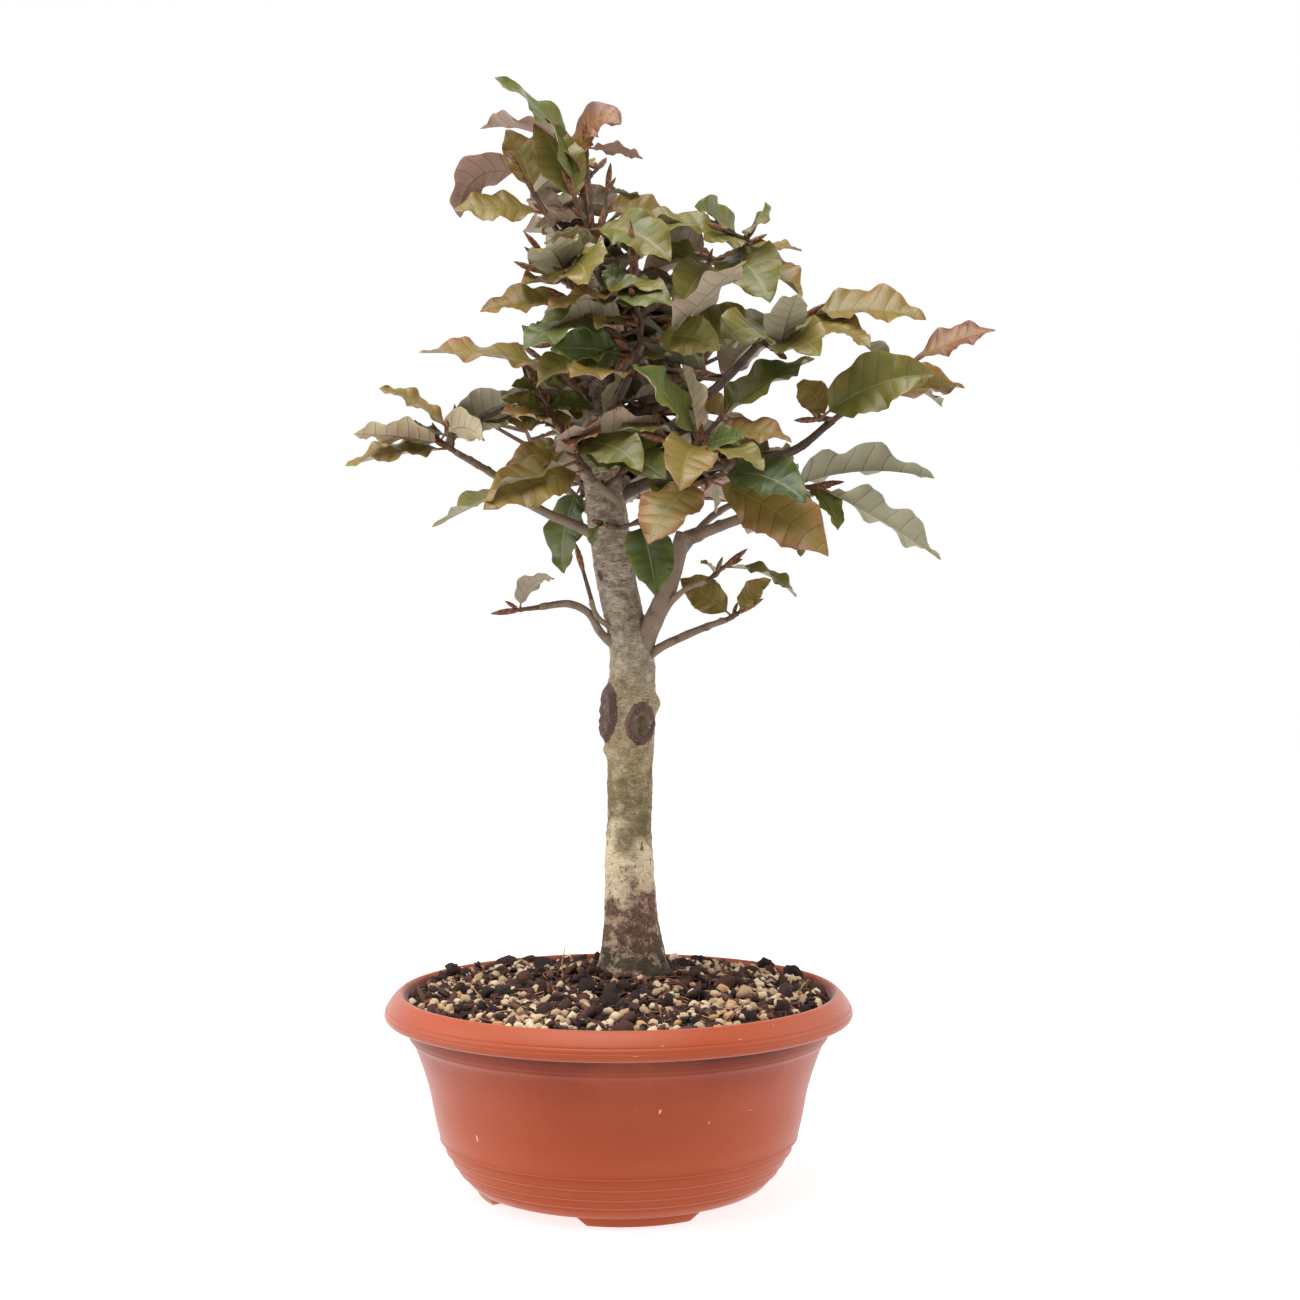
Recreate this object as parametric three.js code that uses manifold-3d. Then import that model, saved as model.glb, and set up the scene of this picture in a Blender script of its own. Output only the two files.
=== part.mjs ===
// A young copper beech grown as a pre-bonsai in a round plastic bowl.
// Millimetres, +Z up. The origin is on the bowl's axis, on the ground under its feet.
// A heading is an angle in plan: 0 is +X, 90 is +Y, 180 is -X. A rise is the angle above level.
import * as THREE from "three";
import { mergeVertices } from "three/addons/utils/BufferGeometryUtils.js";
import Module from "manifold-3d";

const wasm = await Module();
wasm.setup();

// ---- driving dimensions ----
const GAP = 0.3;

const BOWL_SIDES = 32;
const BOWL_HEIGHT = 119;
const RIM_RADIUS = 140;
// Section of the rolled rim from its lower outer edge over the top: how far in from the widest, and how
// far down from the top.
const RIM_SECTION = [
    [2.5, 15.8], [0.4, 14.8], [0, 12.8], [1, 9.5], [3.2, 5.7], [6.5, 2.2], [9.5, 0], [12.8, 9],
];
const WALL = 3;
const BASE_Z = 5.6;
const FLOOR_Z = 9.6;
// Outer wall of the bowl: height and radius, from the base up to the rim.
const BOWL_WALL = [
    [5.6, 88.5], [10.6, 92.8], [20.3, 99.6], [34.6, 107.2], [63.5, 113.7], [78, 118.2], [90, 123],
    [93, 125.4], [102.5, 127.2],
];
const INNER_HEIGHTS = [103, 90, 63.5, 34.6];
const RING_STEPS = [13, 18.5, 25, 32];
const RING_DEPTH = 0.6;
const FOOT_COUNT = 4;
const FOOT_TURN = -81;
const FOOT_INNER = 66;
const FOOT_OUTER = 79;
const FOOT_TOP_OUTER = 87;
const FOOT_HALF_ANGLE = 20;
const FOOT_TOP_HALF_ANGLE = 25;
const FOOT_STEPS = 4;
// How far a foot or the pad is sunk into the bowl's floor.
const SINK = 1;
const PAD_RADIUS = 16;
const PAD_SIDES = 16;

// Top of the soil from the middle out: share of its reach, and height.
const SOIL_MOUND = [[0, 129.7], [0.206, 129.7], [0.473, 122], [0.9, 117.5], [1.02, 113.5]];

// Trunk from the soil to the pruned tip: x, y, height and radius.
const TRUNK_SIDES = 12;
const TRUNK = [
    [8, 0, 130, 22.5], [8, 0, 136, 20.2], [8, 0, 147, 18.2], [7, 0, 164, 16], [6, 0, 202, 13.8],
    [6.5, 0, 244, 13.2], [7, 0, 280, 14.2], [8, 0, 316, 13.6], [1, 0, 350, 12.3], [-4, 0, 378, 12.3],
    [-8.5, 0, 412, 12], [-12, 1, 452, 10.6], [-11, 1, 484, 9], [-14, 0, 530, 6.8], [-20, -2, 546, 6.1],
    [-25, -4, 556, 5.6],
];
// Healed pruning wounds on the trunk: height, heading, radius of the callus, and how far it stands out.
const WOUNDS = [[283, 178, 13, 3], [277, -62, 14, 3], [287, -8, 9, 2.5], [480, -30, 6, 1.5]];
// A callus and the dish in it, as shares of the wound's radius: outward, sideways and up.
const CALLUS_SHAPE = [0.6, 0.9, 1.25];
const DISH_SHAPE = [0.16, 0.44, 0.72];
const EGG_SIDES = 8;
const EGG_RINGS = 6;

// Boughs: parent, place on it (a height on the trunk, or a share of a bough), runs of heading, rise and
// length, and the radius at the foot and at the tip.
const BOUGH_SIDES = 6;
const BOUGHS = {
    bough_low_right: ["trunk", 312, [[-30, 62, 26], [-20, 63, 26], [0, 75, 35]], [7.2, 4.6]],
    bough_cut_right: ["bough_low_right", 0.94, [[0, 21, 49]], [3.4, 3.1]],
    bough_right_low: ["bough_low_right", 0.84, [[37, 42, 40], [5, 22, 35]], [2.4, 1.8]],
    bough_right_thin: ["trunk", 309, [[-20, 39, 22], [-10, 25, 28], [0, 19, 16]], [3.1, 1.9]],
    bough_right_twig: ["bough_low_right", 0.36, [[-27, 42, 27], [-18, 20, 15]], [2.2, 1.5]],
    bough_low_left: ["trunk", 316, [[-163, 40, 26], [-165, 56, 14], [-170, 25, 12], [180, -6, 18]], [3, 2]],
    bough_spur_left: ["trunk", 330, [[-150, 31, 24], [-156, 68, 11]], [1.9, 1.4]],
    bough_left: ["trunk", 387, [[175, 26, 56], [180, 40, 21], [178, 31, 32]], [3.4, 2]],
    bough_front_left: ["trunk", 408, [[-64, 3, 16], [-165, 43, 19]], [2.7, 2.2]],
    bough_front: ["trunk", 466, [[-53, 17, 20], [-29, 62, 17], [-16, 67, 17]], [3, 2.3]],
    bough_right_mid: ["trunk", 412, [[0, 20, 54], [0, 10, 61], [4, 36, 33]], [4, 2.3]],
    bough_middle: ["bough_right_mid", 0.37, [[-84, 10, 33]], [2.4, 2]],
    bough_middle_low: ["bough_right_mid", 0.55, [[-105, -17, 35]], [2.3, 1.9]],
    bough_right_upper: ["trunk", 455, [[4, 21, 44], [3, 13, 23], [2, 43, 43]], [4.1, 2.3]],
    bough_top_right: ["trunk", 508, [[20, 34, 48], [22, 39, 34]], [3.1, 2.1]],
    bough_back_left: ["trunk", 398, [[114, 20, 56], [130, 36, 50]], [3.6, 2.1]],
    bough_back_right: ["trunk", 440, [[62, 24, 54], [48, 35, 54]], [3.6, 2.1]],
    bough_back_low: ["trunk", 368, [[65, 25, 54], [75, 38, 42]], [3.6, 2.1]],
    bough_back_top: ["trunk", 500, [[98, 31, 40], [85, 50, 36]], [2.9, 1.9]],
};

const SHOOT_RADIUS = 1.5;
const SHOOT_TIP_RADIUS = 1.1;
const SHOOT_SIDES = 3;
const LEAF_SPACING = 14;
const BUD_LENGTH = 18;
const BUD_RADIUS = 1.7;
// Share of a bud's length, and its radius there as a share of the widest.
const BUD_SWELL = [[0, 0.6], [0.45, 1]];
const BUD_SINK = 2;
const LEAF_LENGTH = 64;
const LEAF_HALF_WIDTH = 0.28;
const LEAF_FOLD = 15;
const LEAF_THICKNESS = 1.5;
const STALK_SHARE = 0.12;
const STALK_RADIUS = 0.9;
// Outline of a leaf: share of its length, and half width as a share of the widest.
const LEAF_OUTLINE = [[0.03, 0.18], [0.33, 0.98], [0.7, 0.74]];

// Height, and how far to each side of the crown's leaning axis a grown leaf may reach there.
const CROWN_REACH = [[370, 30], [400, 60], [440, 80], [480, 85], [520, 60], [560, 40], [600, 40], [650, 30]];
const CROWN_AXIS_X = 25;
const CROWN_AXIS_Z = 450;
const CROWN_LEAN = -0.41;
const CROWN_DEPTH = 150;

// Masses of foliage: limb, place (a height on the trunk, or 1 for a bough's tip), stem as heading, rise,
// length and radius, the stem's leaves, and its shoots. A shoot is its place along the stem, heading,
// rise, length and leaves. A leaf is heading, rise, length, roll and curl. A count in place of a list
// has that many shoots or leaves grown by the seeded rule.
const MASSES = {
    foliage_top: ["trunk", 534, [-24, 82, 27, 2.5], [[-165, 40, 26, 30, -60]], [
        [1, -165, 65, 36, [[-145, 12, 34, 10, -50], [-30, -2, 58, 45, -45], [180, 12, 28, 15, -50],
            [165, 70, 56, -60, -15], [-178, 82, 80, -18, -58]]],
        [0.8, 45, 80, 44, [[20, 22, 46, 55, -75], [50, 10, 32, 20, -40]]],
        [0.55, 160, 85, 76, [[160, 64, 84, 0, -72], [-30, 118, 50, 65, -165], [12, -2, 32, -10, -12]]],
        [0.3, 110, 70, 56, 3],
    ]],
    foliage_top_left: ["trunk", 545, [165, 58, 76, 2.3],
        [[-160, 6, 52, -45, -16], [150, 74, 42, -60, -20], [-165, 15, 52, 45, -115]], [
            [0.4, 105, 30, 30, 2],
        ]],
    foliage_spur_top: ["trunk", 524, [-164, 24, 16, 1.5], [[-175, 2, 50, -45, -22]], [
        [0.4, 170, 60, 19, [[-170, 25, 28, -20, -25]]],
    ]],
    foliage_spur_mid: ["trunk", 464, [-130, 38, 34, 1.8],
        [[180, 10, 44, -20, -30], [-170, 16, 80, -20, -22]], []],
    foliage_front: ["bough_front", 1, [-140, 84, 32, 2],
        [[-155, 10, 72, -25, -55], [160, 60, 30, -60, -30], [55, 15, 22, 50, -60]], [
            [0.12, -40, -15, 20, [[-45, 5, 50, 60, -40], [-46, 40, 68, 18, -20]]],
            [0.05, -115, -35, 19, [[-150, -60, 50, 30, -5], [-155, 10, 45, -80, -20]]],
            [0.3, -155, -25, 13, [[-115, 25, 32, -30, -60]]],
        ]],
    foliage_top_right: ["bough_top_right", 1, [8, 28, 30, 1.8],
        [[-165, 18, 52, -50, -20], [-120, -30, 56, -45, -20], [-65, -10, 66, 32, -50],
            [-35, -20, 56, 20, -25], [-15, 10, 38, 20, -30], [-130, 35, 46, -60, -35]], [
            [1, -70, 25, 9, [[-120, 5, 50, -40, -30], [-75, 20, 40, 50, -40]]],
            [0.5, 85, 5, 33, 4],
        ]],
    foliage_right_top: ["bough_right_upper", 1, [-14, 30, 31, 1.9],
        [[165, 25, 60, -55, -40], [-125, 0, 62, -35, -22], [-40, 0, 56, 25, -40], [-10, 12, 68, 34, -32]], [
            [0.15, -75, -20, 30, [[-65, 10, 56, 40, -50], [-80, 40, 46, 10, -20]]],
            [0.6, 70, 10, 47, 4],
        ]],
    foliage_right: ["bough_right_mid", 1, [12, 36, 62, 1.9],
        [[15, 22, 64, 40, -32], [35, 15, 50, 30, -50], [-135, 34, 46, -20, -25], [-15, 30, 48, 50, -25]], [
            [0.02, -150, -5, 12, [[125, 60, 34, -60, -40], [-25, 34, 68, 76, -40]]],
            [0.5, 70, 5, 48, 4],
        ]],
    foliage_right_low: ["bough_right_low", 1, [-12, 6, 28, 1.7],
        [[-10, 20, 84, -16, -38], [-70, -45, 42, 60, -60], [-25, -25, 32, 30, -60],
            [-20, -25, 80, -22, -14]], [
            [0.6, 75, 0, 43, 3],
        ]],
    foliage_middle: ["bough_middle", 1, [-86, 26, 15, 1.9],
        [[-150, 35, 50, -20, -60], [-20, 25, 52, 35, -55], [-140, 50, 58, -60, -25],
            [140, 78, 42, 60, -10]], [
            [0.6, -85, -15, 20, [[-105, -5, 58, -20, -50], [-45, 20, 30, 60, -30], [-45, 5, 44, 20, -50]]],
            [0.9, 35, 45, 16, [[15, 42, 66, 22, -20]]],
        ]],
    foliage_middle_low: ["bough_middle_low", 1, [-128, -16, 21, 1.8],
        [[-35, 5, 58, 45, -50], [75, -50, 20, 60, -30], [-15, -20, 76, 60, -28], [-125, -20, 60, -15, -35]],
        []],
    foliage_front_spur: ["trunk", 394, [-60, 4, 37, 1.7], [[-75, -35, 50, 10, -45]], [
        [0.3, -120, 5, 14, [[-120, -5, 20, 20, -90]]],
    ]],
    foliage_front_left: ["bough_front_left", 1, [-166, 56, 30, 2],
        [[-150, -10, 64, -50, -28], [-170, -21, 86, -4, -10], [-175, -5, 38, -60, -30],
            [-35, -10, 68, 45, -28]], [
            [1, -170, 60, 30, [[-145, 20, 38, -20, -25], [175, 25, 30, -40, -20], [15, 12, 26, 60, -30],
                [-150, 30, 18, -50, -50]]],
        ]],
    foliage_left: ["bough_left", 1, [174, 36, 12, 1.7],
        [[-165, -5, 58, -25, -12], [-150, 10, 52, 18, -14], [-40, 35, 38, -60, -90]], [
            [0.3, -75, 70, 10, [[-15, 50, 47, -50, -45], [-165, 20, 30, -20, -20], [-165, 44, 46, -26, -30]]],
            [0.6, 95, 10, 43, 3],
        ]],
    foliage_spur_side: ["trunk", 402, [138, 44, 30, 1.7], [[-178, -65, 50, -60, -35]], []],
    foliage_low_left: ["bough_low_left", 1, [-170, -8, 12, 1.6], [[-25, 80, 30, -20, -95]], []],
    twig_low_left: ["bough_spur_left", 1, [180, 74, 17, 1.3], [], []],
    foliage_low_right: ["bough_right_thin", 1, [0, 30, 8, 1.6],
        [[150, 40, 38, -80, -20], [-20, 60, 26, 70, -40]], []],
    foliage_right_twig: ["bough_right_twig", 1, [-10, 38, 13, 1.4],
        [[-130, 50, 14, -30, -60], [-15, 0, 44, 10, -50]], []],
    foliage_back_left: ["bough_back_left", 1, [112, 40, 32, 1.9], 3, 3],
    foliage_back_right: ["bough_back_right", 1, [50, 42, 34, 1.9], 3, 3],
    foliage_back_low: ["bough_back_low", 1, [60, 35, 30, 1.9], 3, 3],
    foliage_back_top: ["bough_back_top", 1, [70, 62, 34, 1.8], 3, 3],
};

// ---- materials ----
const bark = new THREE.MeshStandardMaterial({ color: 0x8c8474, roughness: 0.9, metalness: 0 });
const foliage = new THREE.MeshStandardMaterial({ color: 0x7b7440, roughness: 0.55, metalness: 0 });
const plastic = new THREE.MeshStandardMaterial({ color: 0xb5654a, roughness: 0.5, metalness: 0 });
const substrate = new THREE.MeshStandardMaterial({ color: 0x3a2a20, roughness: 1, metalness: 0 });

// ---- directions and random numbers ----
function direction(heading, rise) {
    const h = THREE.MathUtils.degToRad(heading);
    const r = THREE.MathUtils.degToRad(rise);
    return new THREE.Vector3(Math.cos(r) * Math.cos(h), Math.cos(r) * Math.sin(h), Math.sin(r));
}

function randomSource(seed) {
    let state = seed;
    return () => {
        state = (Math.imul(state, 1664525) + 1013904223) >>> 0;
        return state / 4294967296;
    };
}

// ---- lofted solids ----
// Joins rings of equal count into one closed skin, with a fan on each end.
function loft(rings) {
    const count = rings[0].length;
    const positions = [];
    const index = [];
    for (const ring of rings) {
        for (const point of ring) {
            positions.push(point.x, point.y, point.z);
        }
    }
    for (let k = 0; k + 1 < rings.length; k += 1) {
        for (let i = 0; i < count; i += 1) {
            const a = k * count + i;
            const b = k * count + ((i + 1) % count);
            index.push(a, b, b + count, a, b + count, a + count);
        }
    }
    const last = (rings.length - 1) * count;
    for (let i = 1; i + 1 < count; i += 1) {
        index.push(0, i + 1, i);
        index.push(last, last + i, last + i + 1);
    }
    const geometry = new THREE.BufferGeometry();
    geometry.setAttribute("position", new THREE.Float32BufferAttribute(positions, 3));
    geometry.setIndex(index);
    return geometry;
}

// A tapering round limb through a list of points.
function tube(points, radii, sides) {
    const rings = [];
    let across = new THREE.Vector3(0, 1, 0);
    for (let k = 0; k < points.length; k += 1) {
        const before = points[Math.max(k - 1, 0)];
        const after = points[Math.min(k + 1, points.length - 1)];
        const tangent = after.clone().sub(before).normalize();
        across = across.clone().addScaledVector(tangent, -across.dot(tangent)).normalize();
        const up = tangent.clone().cross(across);
        const ring = [];
        for (let i = 0; i < sides; i += 1) {
            const angle = (2 * Math.PI * i) / sides;
            const spoke = across.clone().multiplyScalar(Math.cos(angle)).addScaledVector(up, Math.sin(angle));
            ring.push(points[k].clone().addScaledVector(spoke, radii[k]));
        }
        rings.push(ring);
    }
    return loft(rings);
}

function solid(geometry) {
    const plain = geometry.clone();
    plain.deleteAttribute("normal");
    plain.deleteAttribute("uv");
    const merged = mergeVertices(plain, 1e-4);
    const vertProperties = new Float32Array(merged.attributes.position.array);
    const triVerts = new Uint32Array(merged.index.array);
    return new wasm.Manifold(new wasm.Mesh({ numProp: 3, vertProperties, triVerts }));
}

function meshOf(name, body, material) {
    const found = body.getMesh();
    const geometry = new THREE.BufferGeometry();
    geometry.setAttribute("position", new THREE.BufferAttribute(new Float32Array(found.vertProperties), 3));
    geometry.setIndex(new THREE.BufferAttribute(new Uint32Array(found.triVerts), 1));
    geometry.computeVertexNormals();
    const mesh = new THREE.Mesh(geometry, material);
    mesh.name = name;
    return mesh;
}

// ---- bowl and soil ----
function wallRadius(z) {
    for (let i = 0; i + 1 < BOWL_WALL.length; i += 1) {
        const [z0, r0] = BOWL_WALL[i];
        const [z1, r1] = BOWL_WALL[i + 1];
        if (z <= z1) {
            return r0 + ((r1 - r0) * (z - z0)) / (z1 - z0);
        }
    }
    return BOWL_WALL[BOWL_WALL.length - 1][1];
}

function bowlProfile() {
    const outline = [[0, BASE_Z], [wallRadius(BASE_Z), BASE_Z]];
    for (const z of RING_STEPS) {
        outline.push([wallRadius(z) - RING_DEPTH, z - RING_DEPTH]);
        outline.push([wallRadius(z) + RING_DEPTH, z + RING_DEPTH]);
    }
    const topRing = RING_STEPS[RING_STEPS.length - 1];
    outline.push(...BOWL_WALL.filter(([z]) => z > topRing + RING_DEPTH).map(([z, r]) => [r, z]));
    for (const [inward, down] of RIM_SECTION) {
        outline.push([RIM_RADIUS - inward, BOWL_HEIGHT - down]);
    }
    outline.push(...innerWall());
    return outline;
}

// Inner face of the bowl, from under the rim down to the middle of the floor.
function innerWall() {
    const points = INNER_HEIGHTS.map((z) => [wallRadius(z) - WALL, z]);
    points.push([wallRadius(FLOOR_Z) - WALL, FLOOR_Z], [0, FLOOR_Z]);
    return points;
}

function lathe(profile) {
    const points = profile.map(([r, z]) => new THREE.Vector2(r, z));
    const geometry = new THREE.LatheGeometry(points, BOWL_SIDES);
    geometry.rotateX(Math.PI / 2);
    return geometry;
}

// A foot is a block bent round the axis, narrower where it meets the ground.
function foot(turn) {
    const rings = [];
    const levels = [[0, FOOT_OUTER, FOOT_HALF_ANGLE], [BASE_Z + SINK, FOOT_TOP_OUTER, FOOT_TOP_HALF_ANGLE]];
    for (const [z, outer, half] of levels) {
        const ring = [];
        for (let i = 0; i <= FOOT_STEPS; i += 1) {
            ring.push(polar(outer, turn - half + (2 * half * i) / FOOT_STEPS, z));
        }
        for (let i = FOOT_STEPS; i >= 0; i -= 1) {
            ring.push(polar(FOOT_INNER, turn - half + (2 * half * i) / FOOT_STEPS, z));
        }
        rings.push(ring);
    }
    return loftConcave(rings);
}

function polar(radius, heading, z) {
    return direction(heading, 0).multiplyScalar(radius).setZ(z);
}

// Like loft, for a bent outline whose two long sides face each other.
function loftConcave(rings) {
    const count = rings[0].length;
    const geometry = loft(rings);
    const index = Array.from(geometry.index.array).slice(0, (rings.length - 1) * count * 6);
    const last = (rings.length - 1) * count;
    for (let i = 0; i + 1 < count / 2; i += 1) {
        const j = count - 1 - i;
        index.push(i, j, j - 1, i, j - 1, i + 1);
        index.push(last + i, last + j - 1, last + j, last + i, last + i + 1, last + j - 1);
    }
    geometry.setIndex(index);
    return geometry;
}

function makeBowl() {
    let body = solid(lathe(bowlProfile()));
    for (let k = 0; k < FOOT_COUNT; k += 1) {
        body = body.add(solid(foot(FOOT_TURN + (360 * k) / FOOT_COUNT)));
    }
    const pad = new THREE.CylinderGeometry(PAD_RADIUS, PAD_RADIUS, BASE_Z + SINK, PAD_SIDES);
    pad.rotateX(Math.PI / 2);
    pad.translate(0, 0, (BASE_Z + SINK) / 2);
    return body.add(solid(pad));
}

// The soil fills the bowl with a gap all round, and is mounded up to the trunk's foot.
function makeSoil() {
    const side = innerWall().map(([r, z]) => [Math.max(r - GAP, 0), Math.max(z, FLOOR_Z + GAP)]);
    const reach = side[0][0];
    const top = SOIL_MOUND.map(([share, z]) => [share * reach, z]);
    return solid(lathe([...top, ...side].reverse()));
}

// ---- trunk and boughs ----
function trunkPoint(z) {
    for (let i = 0; i + 1 < TRUNK.length; i += 1) {
        const low = TRUNK[i];
        const high = TRUNK[i + 1];
        if (z <= high[2]) {
            const share = (z - low[2]) / (high[2] - low[2]);
            return new THREE.Vector3(...low).lerp(new THREE.Vector3(...high), share);
        }
    }
    const tip = TRUNK[TRUNK.length - 1];
    return new THREE.Vector3(...tip);
}

function trunkTube(extra) {
    const points = TRUNK.map(([x, y, z]) => new THREE.Vector3(x, y, z));
    return solid(tube(points, TRUNK.map((station) => station[3] + extra), TRUNK_SIDES));
}

// The trunk with its healed wounds: a low dome sunk in the side, dished where the cut was.
function makeTrunk() {
    let body = trunkTube(0);
    for (const [z, heading, radius, stand] of WOUNDS) {
        const side = TRUNK.find((station) => station[2] >= z)[3];
        const outward = direction(heading, 0);
        const centre = trunkPoint(z).addScaledVector(outward, side + stand - radius * CALLUS_SHAPE[0]);
        body = body.add(egg(centre, heading, radius, CALLUS_SHAPE));
        const face = centre.clone().addScaledVector(outward, radius * CALLUS_SHAPE[0]);
        body = body.subtract(egg(face, heading, radius, DISH_SHAPE));
    }
    return body;
}

// A ball drawn out along three axes: outward, sideways and up.
function egg(centre, heading, radius, shape) {
    const ball = new THREE.SphereGeometry(radius, EGG_SIDES, EGG_RINGS);
    ball.rotateX(Math.PI / 2);
    ball.scale(...shape);
    ball.rotateZ(THREE.MathUtils.degToRad(heading));
    ball.translate(centre.x, centre.y, centre.z);
    return solid(ball);
}

function walk(start, runs) {
    const points = [start];
    for (const [heading, rise, length] of runs) {
        points.push(points[points.length - 1].clone().addScaledVector(direction(heading, rise), length));
    }
    return points;
}

// A limb's bends are rounded by a curve through its corners.
function smooth(points) {
    if (points.length < 3) {
        return points;
    }
    return new THREE.CatmullRomCurve3(points, false, "centripetal").getPoints(points.length + 1);
}

function alongPath(points, share) {
    const lengths = points.slice(1).map((point, i) => point.distanceTo(points[i]));
    let left = share * lengths.reduce((sum, length) => sum + length, 0);
    for (let i = 0; i < lengths.length; i += 1) {
        if (left <= lengths[i]) {
            return points[i].clone().lerp(points[i + 1], left / lengths[i]);
        }
        left -= lengths[i];
    }
    return points[points.length - 1].clone();
}

// A limb's own tube. Extra swells it on every side, past its tip too.
function limbTube(points, [footRadius, tipRadius], extra) {
    const path = points.map((point) => point.clone());
    const last = path.length - 1;
    const onward = path[last].clone().sub(path[last - 1]).normalize();
    path[last].addScaledVector(onward, extra);
    const radii = path.map((_, i) => footRadius + ((tipRadius - footRadius) * i) / last + extra);
    return solid(tube(path, radii, BOUGH_SIDES));
}

// ---- leaves, buds and shoots ----
// The four corners of a leaf's blade at one place: its two edges, and its upper and lower middle.
function bladeRing(centre, along, side, roll, half, thickness, fold) {
    const normal = side.clone().cross(along).normalize();
    const face = normal.clone().multiplyScalar(Math.cos(roll)).addScaledVector(side, Math.sin(roll));
    const across = side.clone().multiplyScalar(Math.cos(roll)).addScaledVector(normal, -Math.sin(roll));
    const corner = (out, up) => centre.clone().addScaledVector(across, out).addScaledVector(face, up);
    const edge = half * Math.cos(fold);
    const lift = half * Math.sin(fold);
    return [corner(edge, lift), corner(0, -thickness / 2), corner(-edge, lift), corner(0, thickness / 2)];
}

// A leaf folded along its middle, from its stalk to its point. Extra swells it on every side.
function leafSolid(base, [heading, rise, length, roll, curl], extra) {
    const side = direction(heading, 0).cross(new THREE.Vector3(0, 0, 1)).normalize();
    const turn = THREE.MathUtils.degToRad(roll);
    const fold = THREE.MathUtils.degToRad(LEAF_FOLD);
    const outward = direction(heading, rise);
    const stalk = STALK_RADIUS + extra;
    const rings = [bladeRing(base, outward, side, turn, stalk, 2 * stalk, 0)];
    let centre = base.clone().addScaledVector(outward, length * STALK_SHARE);
    let before = 0;
    for (const [share, width] of LEAF_OUTLINE) {
        const step = direction(heading, rise + (curl * (before + share)) / 2);
        centre = centre.clone().addScaledVector(step, (share - before) * length);
        before = share;
        const along = direction(heading, rise + curl * share);
        const half = width * LEAF_HALF_WIDTH * length + extra;
        rings.push(bladeRing(centre, along, side, turn, half, LEAF_THICKNESS + 2 * extra, fold));
    }
    const onward = direction(heading, rise + (curl * (before + 1)) / 2);
    const tip = centre.clone().addScaledVector(onward, (1 - before) * length);
    return solid(pointed(rings, tip));
}

// A loft drawn together into one point beyond its last ring.
function pointed(rings, tip) {
    const count = rings[0].length;
    const geometry = loft([...rings, rings[0].map(() => tip.clone())]);
    const index = Array.from(geometry.index.array);
    const sides = rings.length * count * 6;
    const last = rings.length * count;
    const foot = index.slice(sides).filter((_, i) => Math.floor(i / 3) % 2 === 0);
    const skin = [];
    for (let i = 0; i < sides; i += 3) {
        const corners = index.slice(i, i + 3).map((corner) => Math.min(corner, last));
        if (new Set(corners).size === 3) {
            skin.push(...corners);
        }
    }
    geometry.setIndex([...skin, ...foot]);
    return geometry;
}

function budSolid(base, along, length) {
    const across = new THREE.Vector3(0, 0, 1).cross(along);
    if (across.length() < 0.01) {
        across.set(1, 0, 0);
    }
    across.normalize();
    const up = along.clone().cross(across);
    const rings = BUD_SWELL.map(([share, swell]) => [0, 1, 2, 3].map((quarter) => {
        const angle = (quarter * Math.PI) / 2;
        const spoke = across.clone().multiplyScalar(Math.cos(angle)).addScaledVector(up, Math.sin(angle));
        return base.clone().addScaledVector(along, share * length).addScaledVector(spoke, swell * BUD_RADIUS);
    }));
    return solid(pointed(rings, base.clone().addScaledVector(along, length)));
}

// Leaves stand on alternate sides of a shoot, each with its own turn, length, roll and curl.
function grownLeaves(heading, rise, count, seed) {
    const random = randomSource(seed);
    const leaves = [];
    for (let i = 0; i < count; i += 1) {
        const side = i % 2 === 0 ? 1 : -1;
        const leafHeading = heading + side * (30 + 35 * random());
        const leafRise = rise * 0.5 + 30 * random() - 5;
        const length = LEAF_LENGTH * (0.78 + 0.34 * random());
        const roll = side * (10 + 30 * random());
        const curl = -(20 + 40 * random());
        leaves.push([leafHeading, leafRise, length, roll, curl]);
    }
    return leaves;
}

function grownShoots(heading, rise, count, seed) {
    const random = randomSource(seed);
    const shoots = [];
    for (let i = 0; i < count; i += 1) {
        const side = i % 2 === 0 ? 1 : -1;
        const place = 0.25 + (0.65 * i) / Math.max(count - 1, 1);
        const shootHeading = heading + side * (40 + 35 * random());
        shoots.push([place, shootHeading, rise * 0.3 + 25 * random() - 5, 26 + 18 * random(), 3]);
    }
    return shoots;
}

function crownReach(z) {
    for (let i = 0; i + 1 < CROWN_REACH.length; i += 1) {
        const [low, lowReach] = CROWN_REACH[i];
        const [high, highReach] = CROWN_REACH[i + 1];
        if (z >= low && z <= high) {
            return lowReach + ((highReach - lowReach) * (z - low)) / (high - low);
        }
    }
    return 0;
}

// Whether a grown leaf's tip stays in the crown's own space.
function inCrown(base, [heading, rise, length, , curl]) {
    const tip = base.clone().addScaledVector(direction(heading, rise + curl / 2), length);
    const axisX = CROWN_AXIS_X + CROWN_LEAN * (tip.z - CROWN_AXIS_Z);
    return Math.abs(tip.x - axisX) <= crownReach(tip.z) && Math.abs(tip.y) <= CROWN_DEPTH;
}

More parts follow.
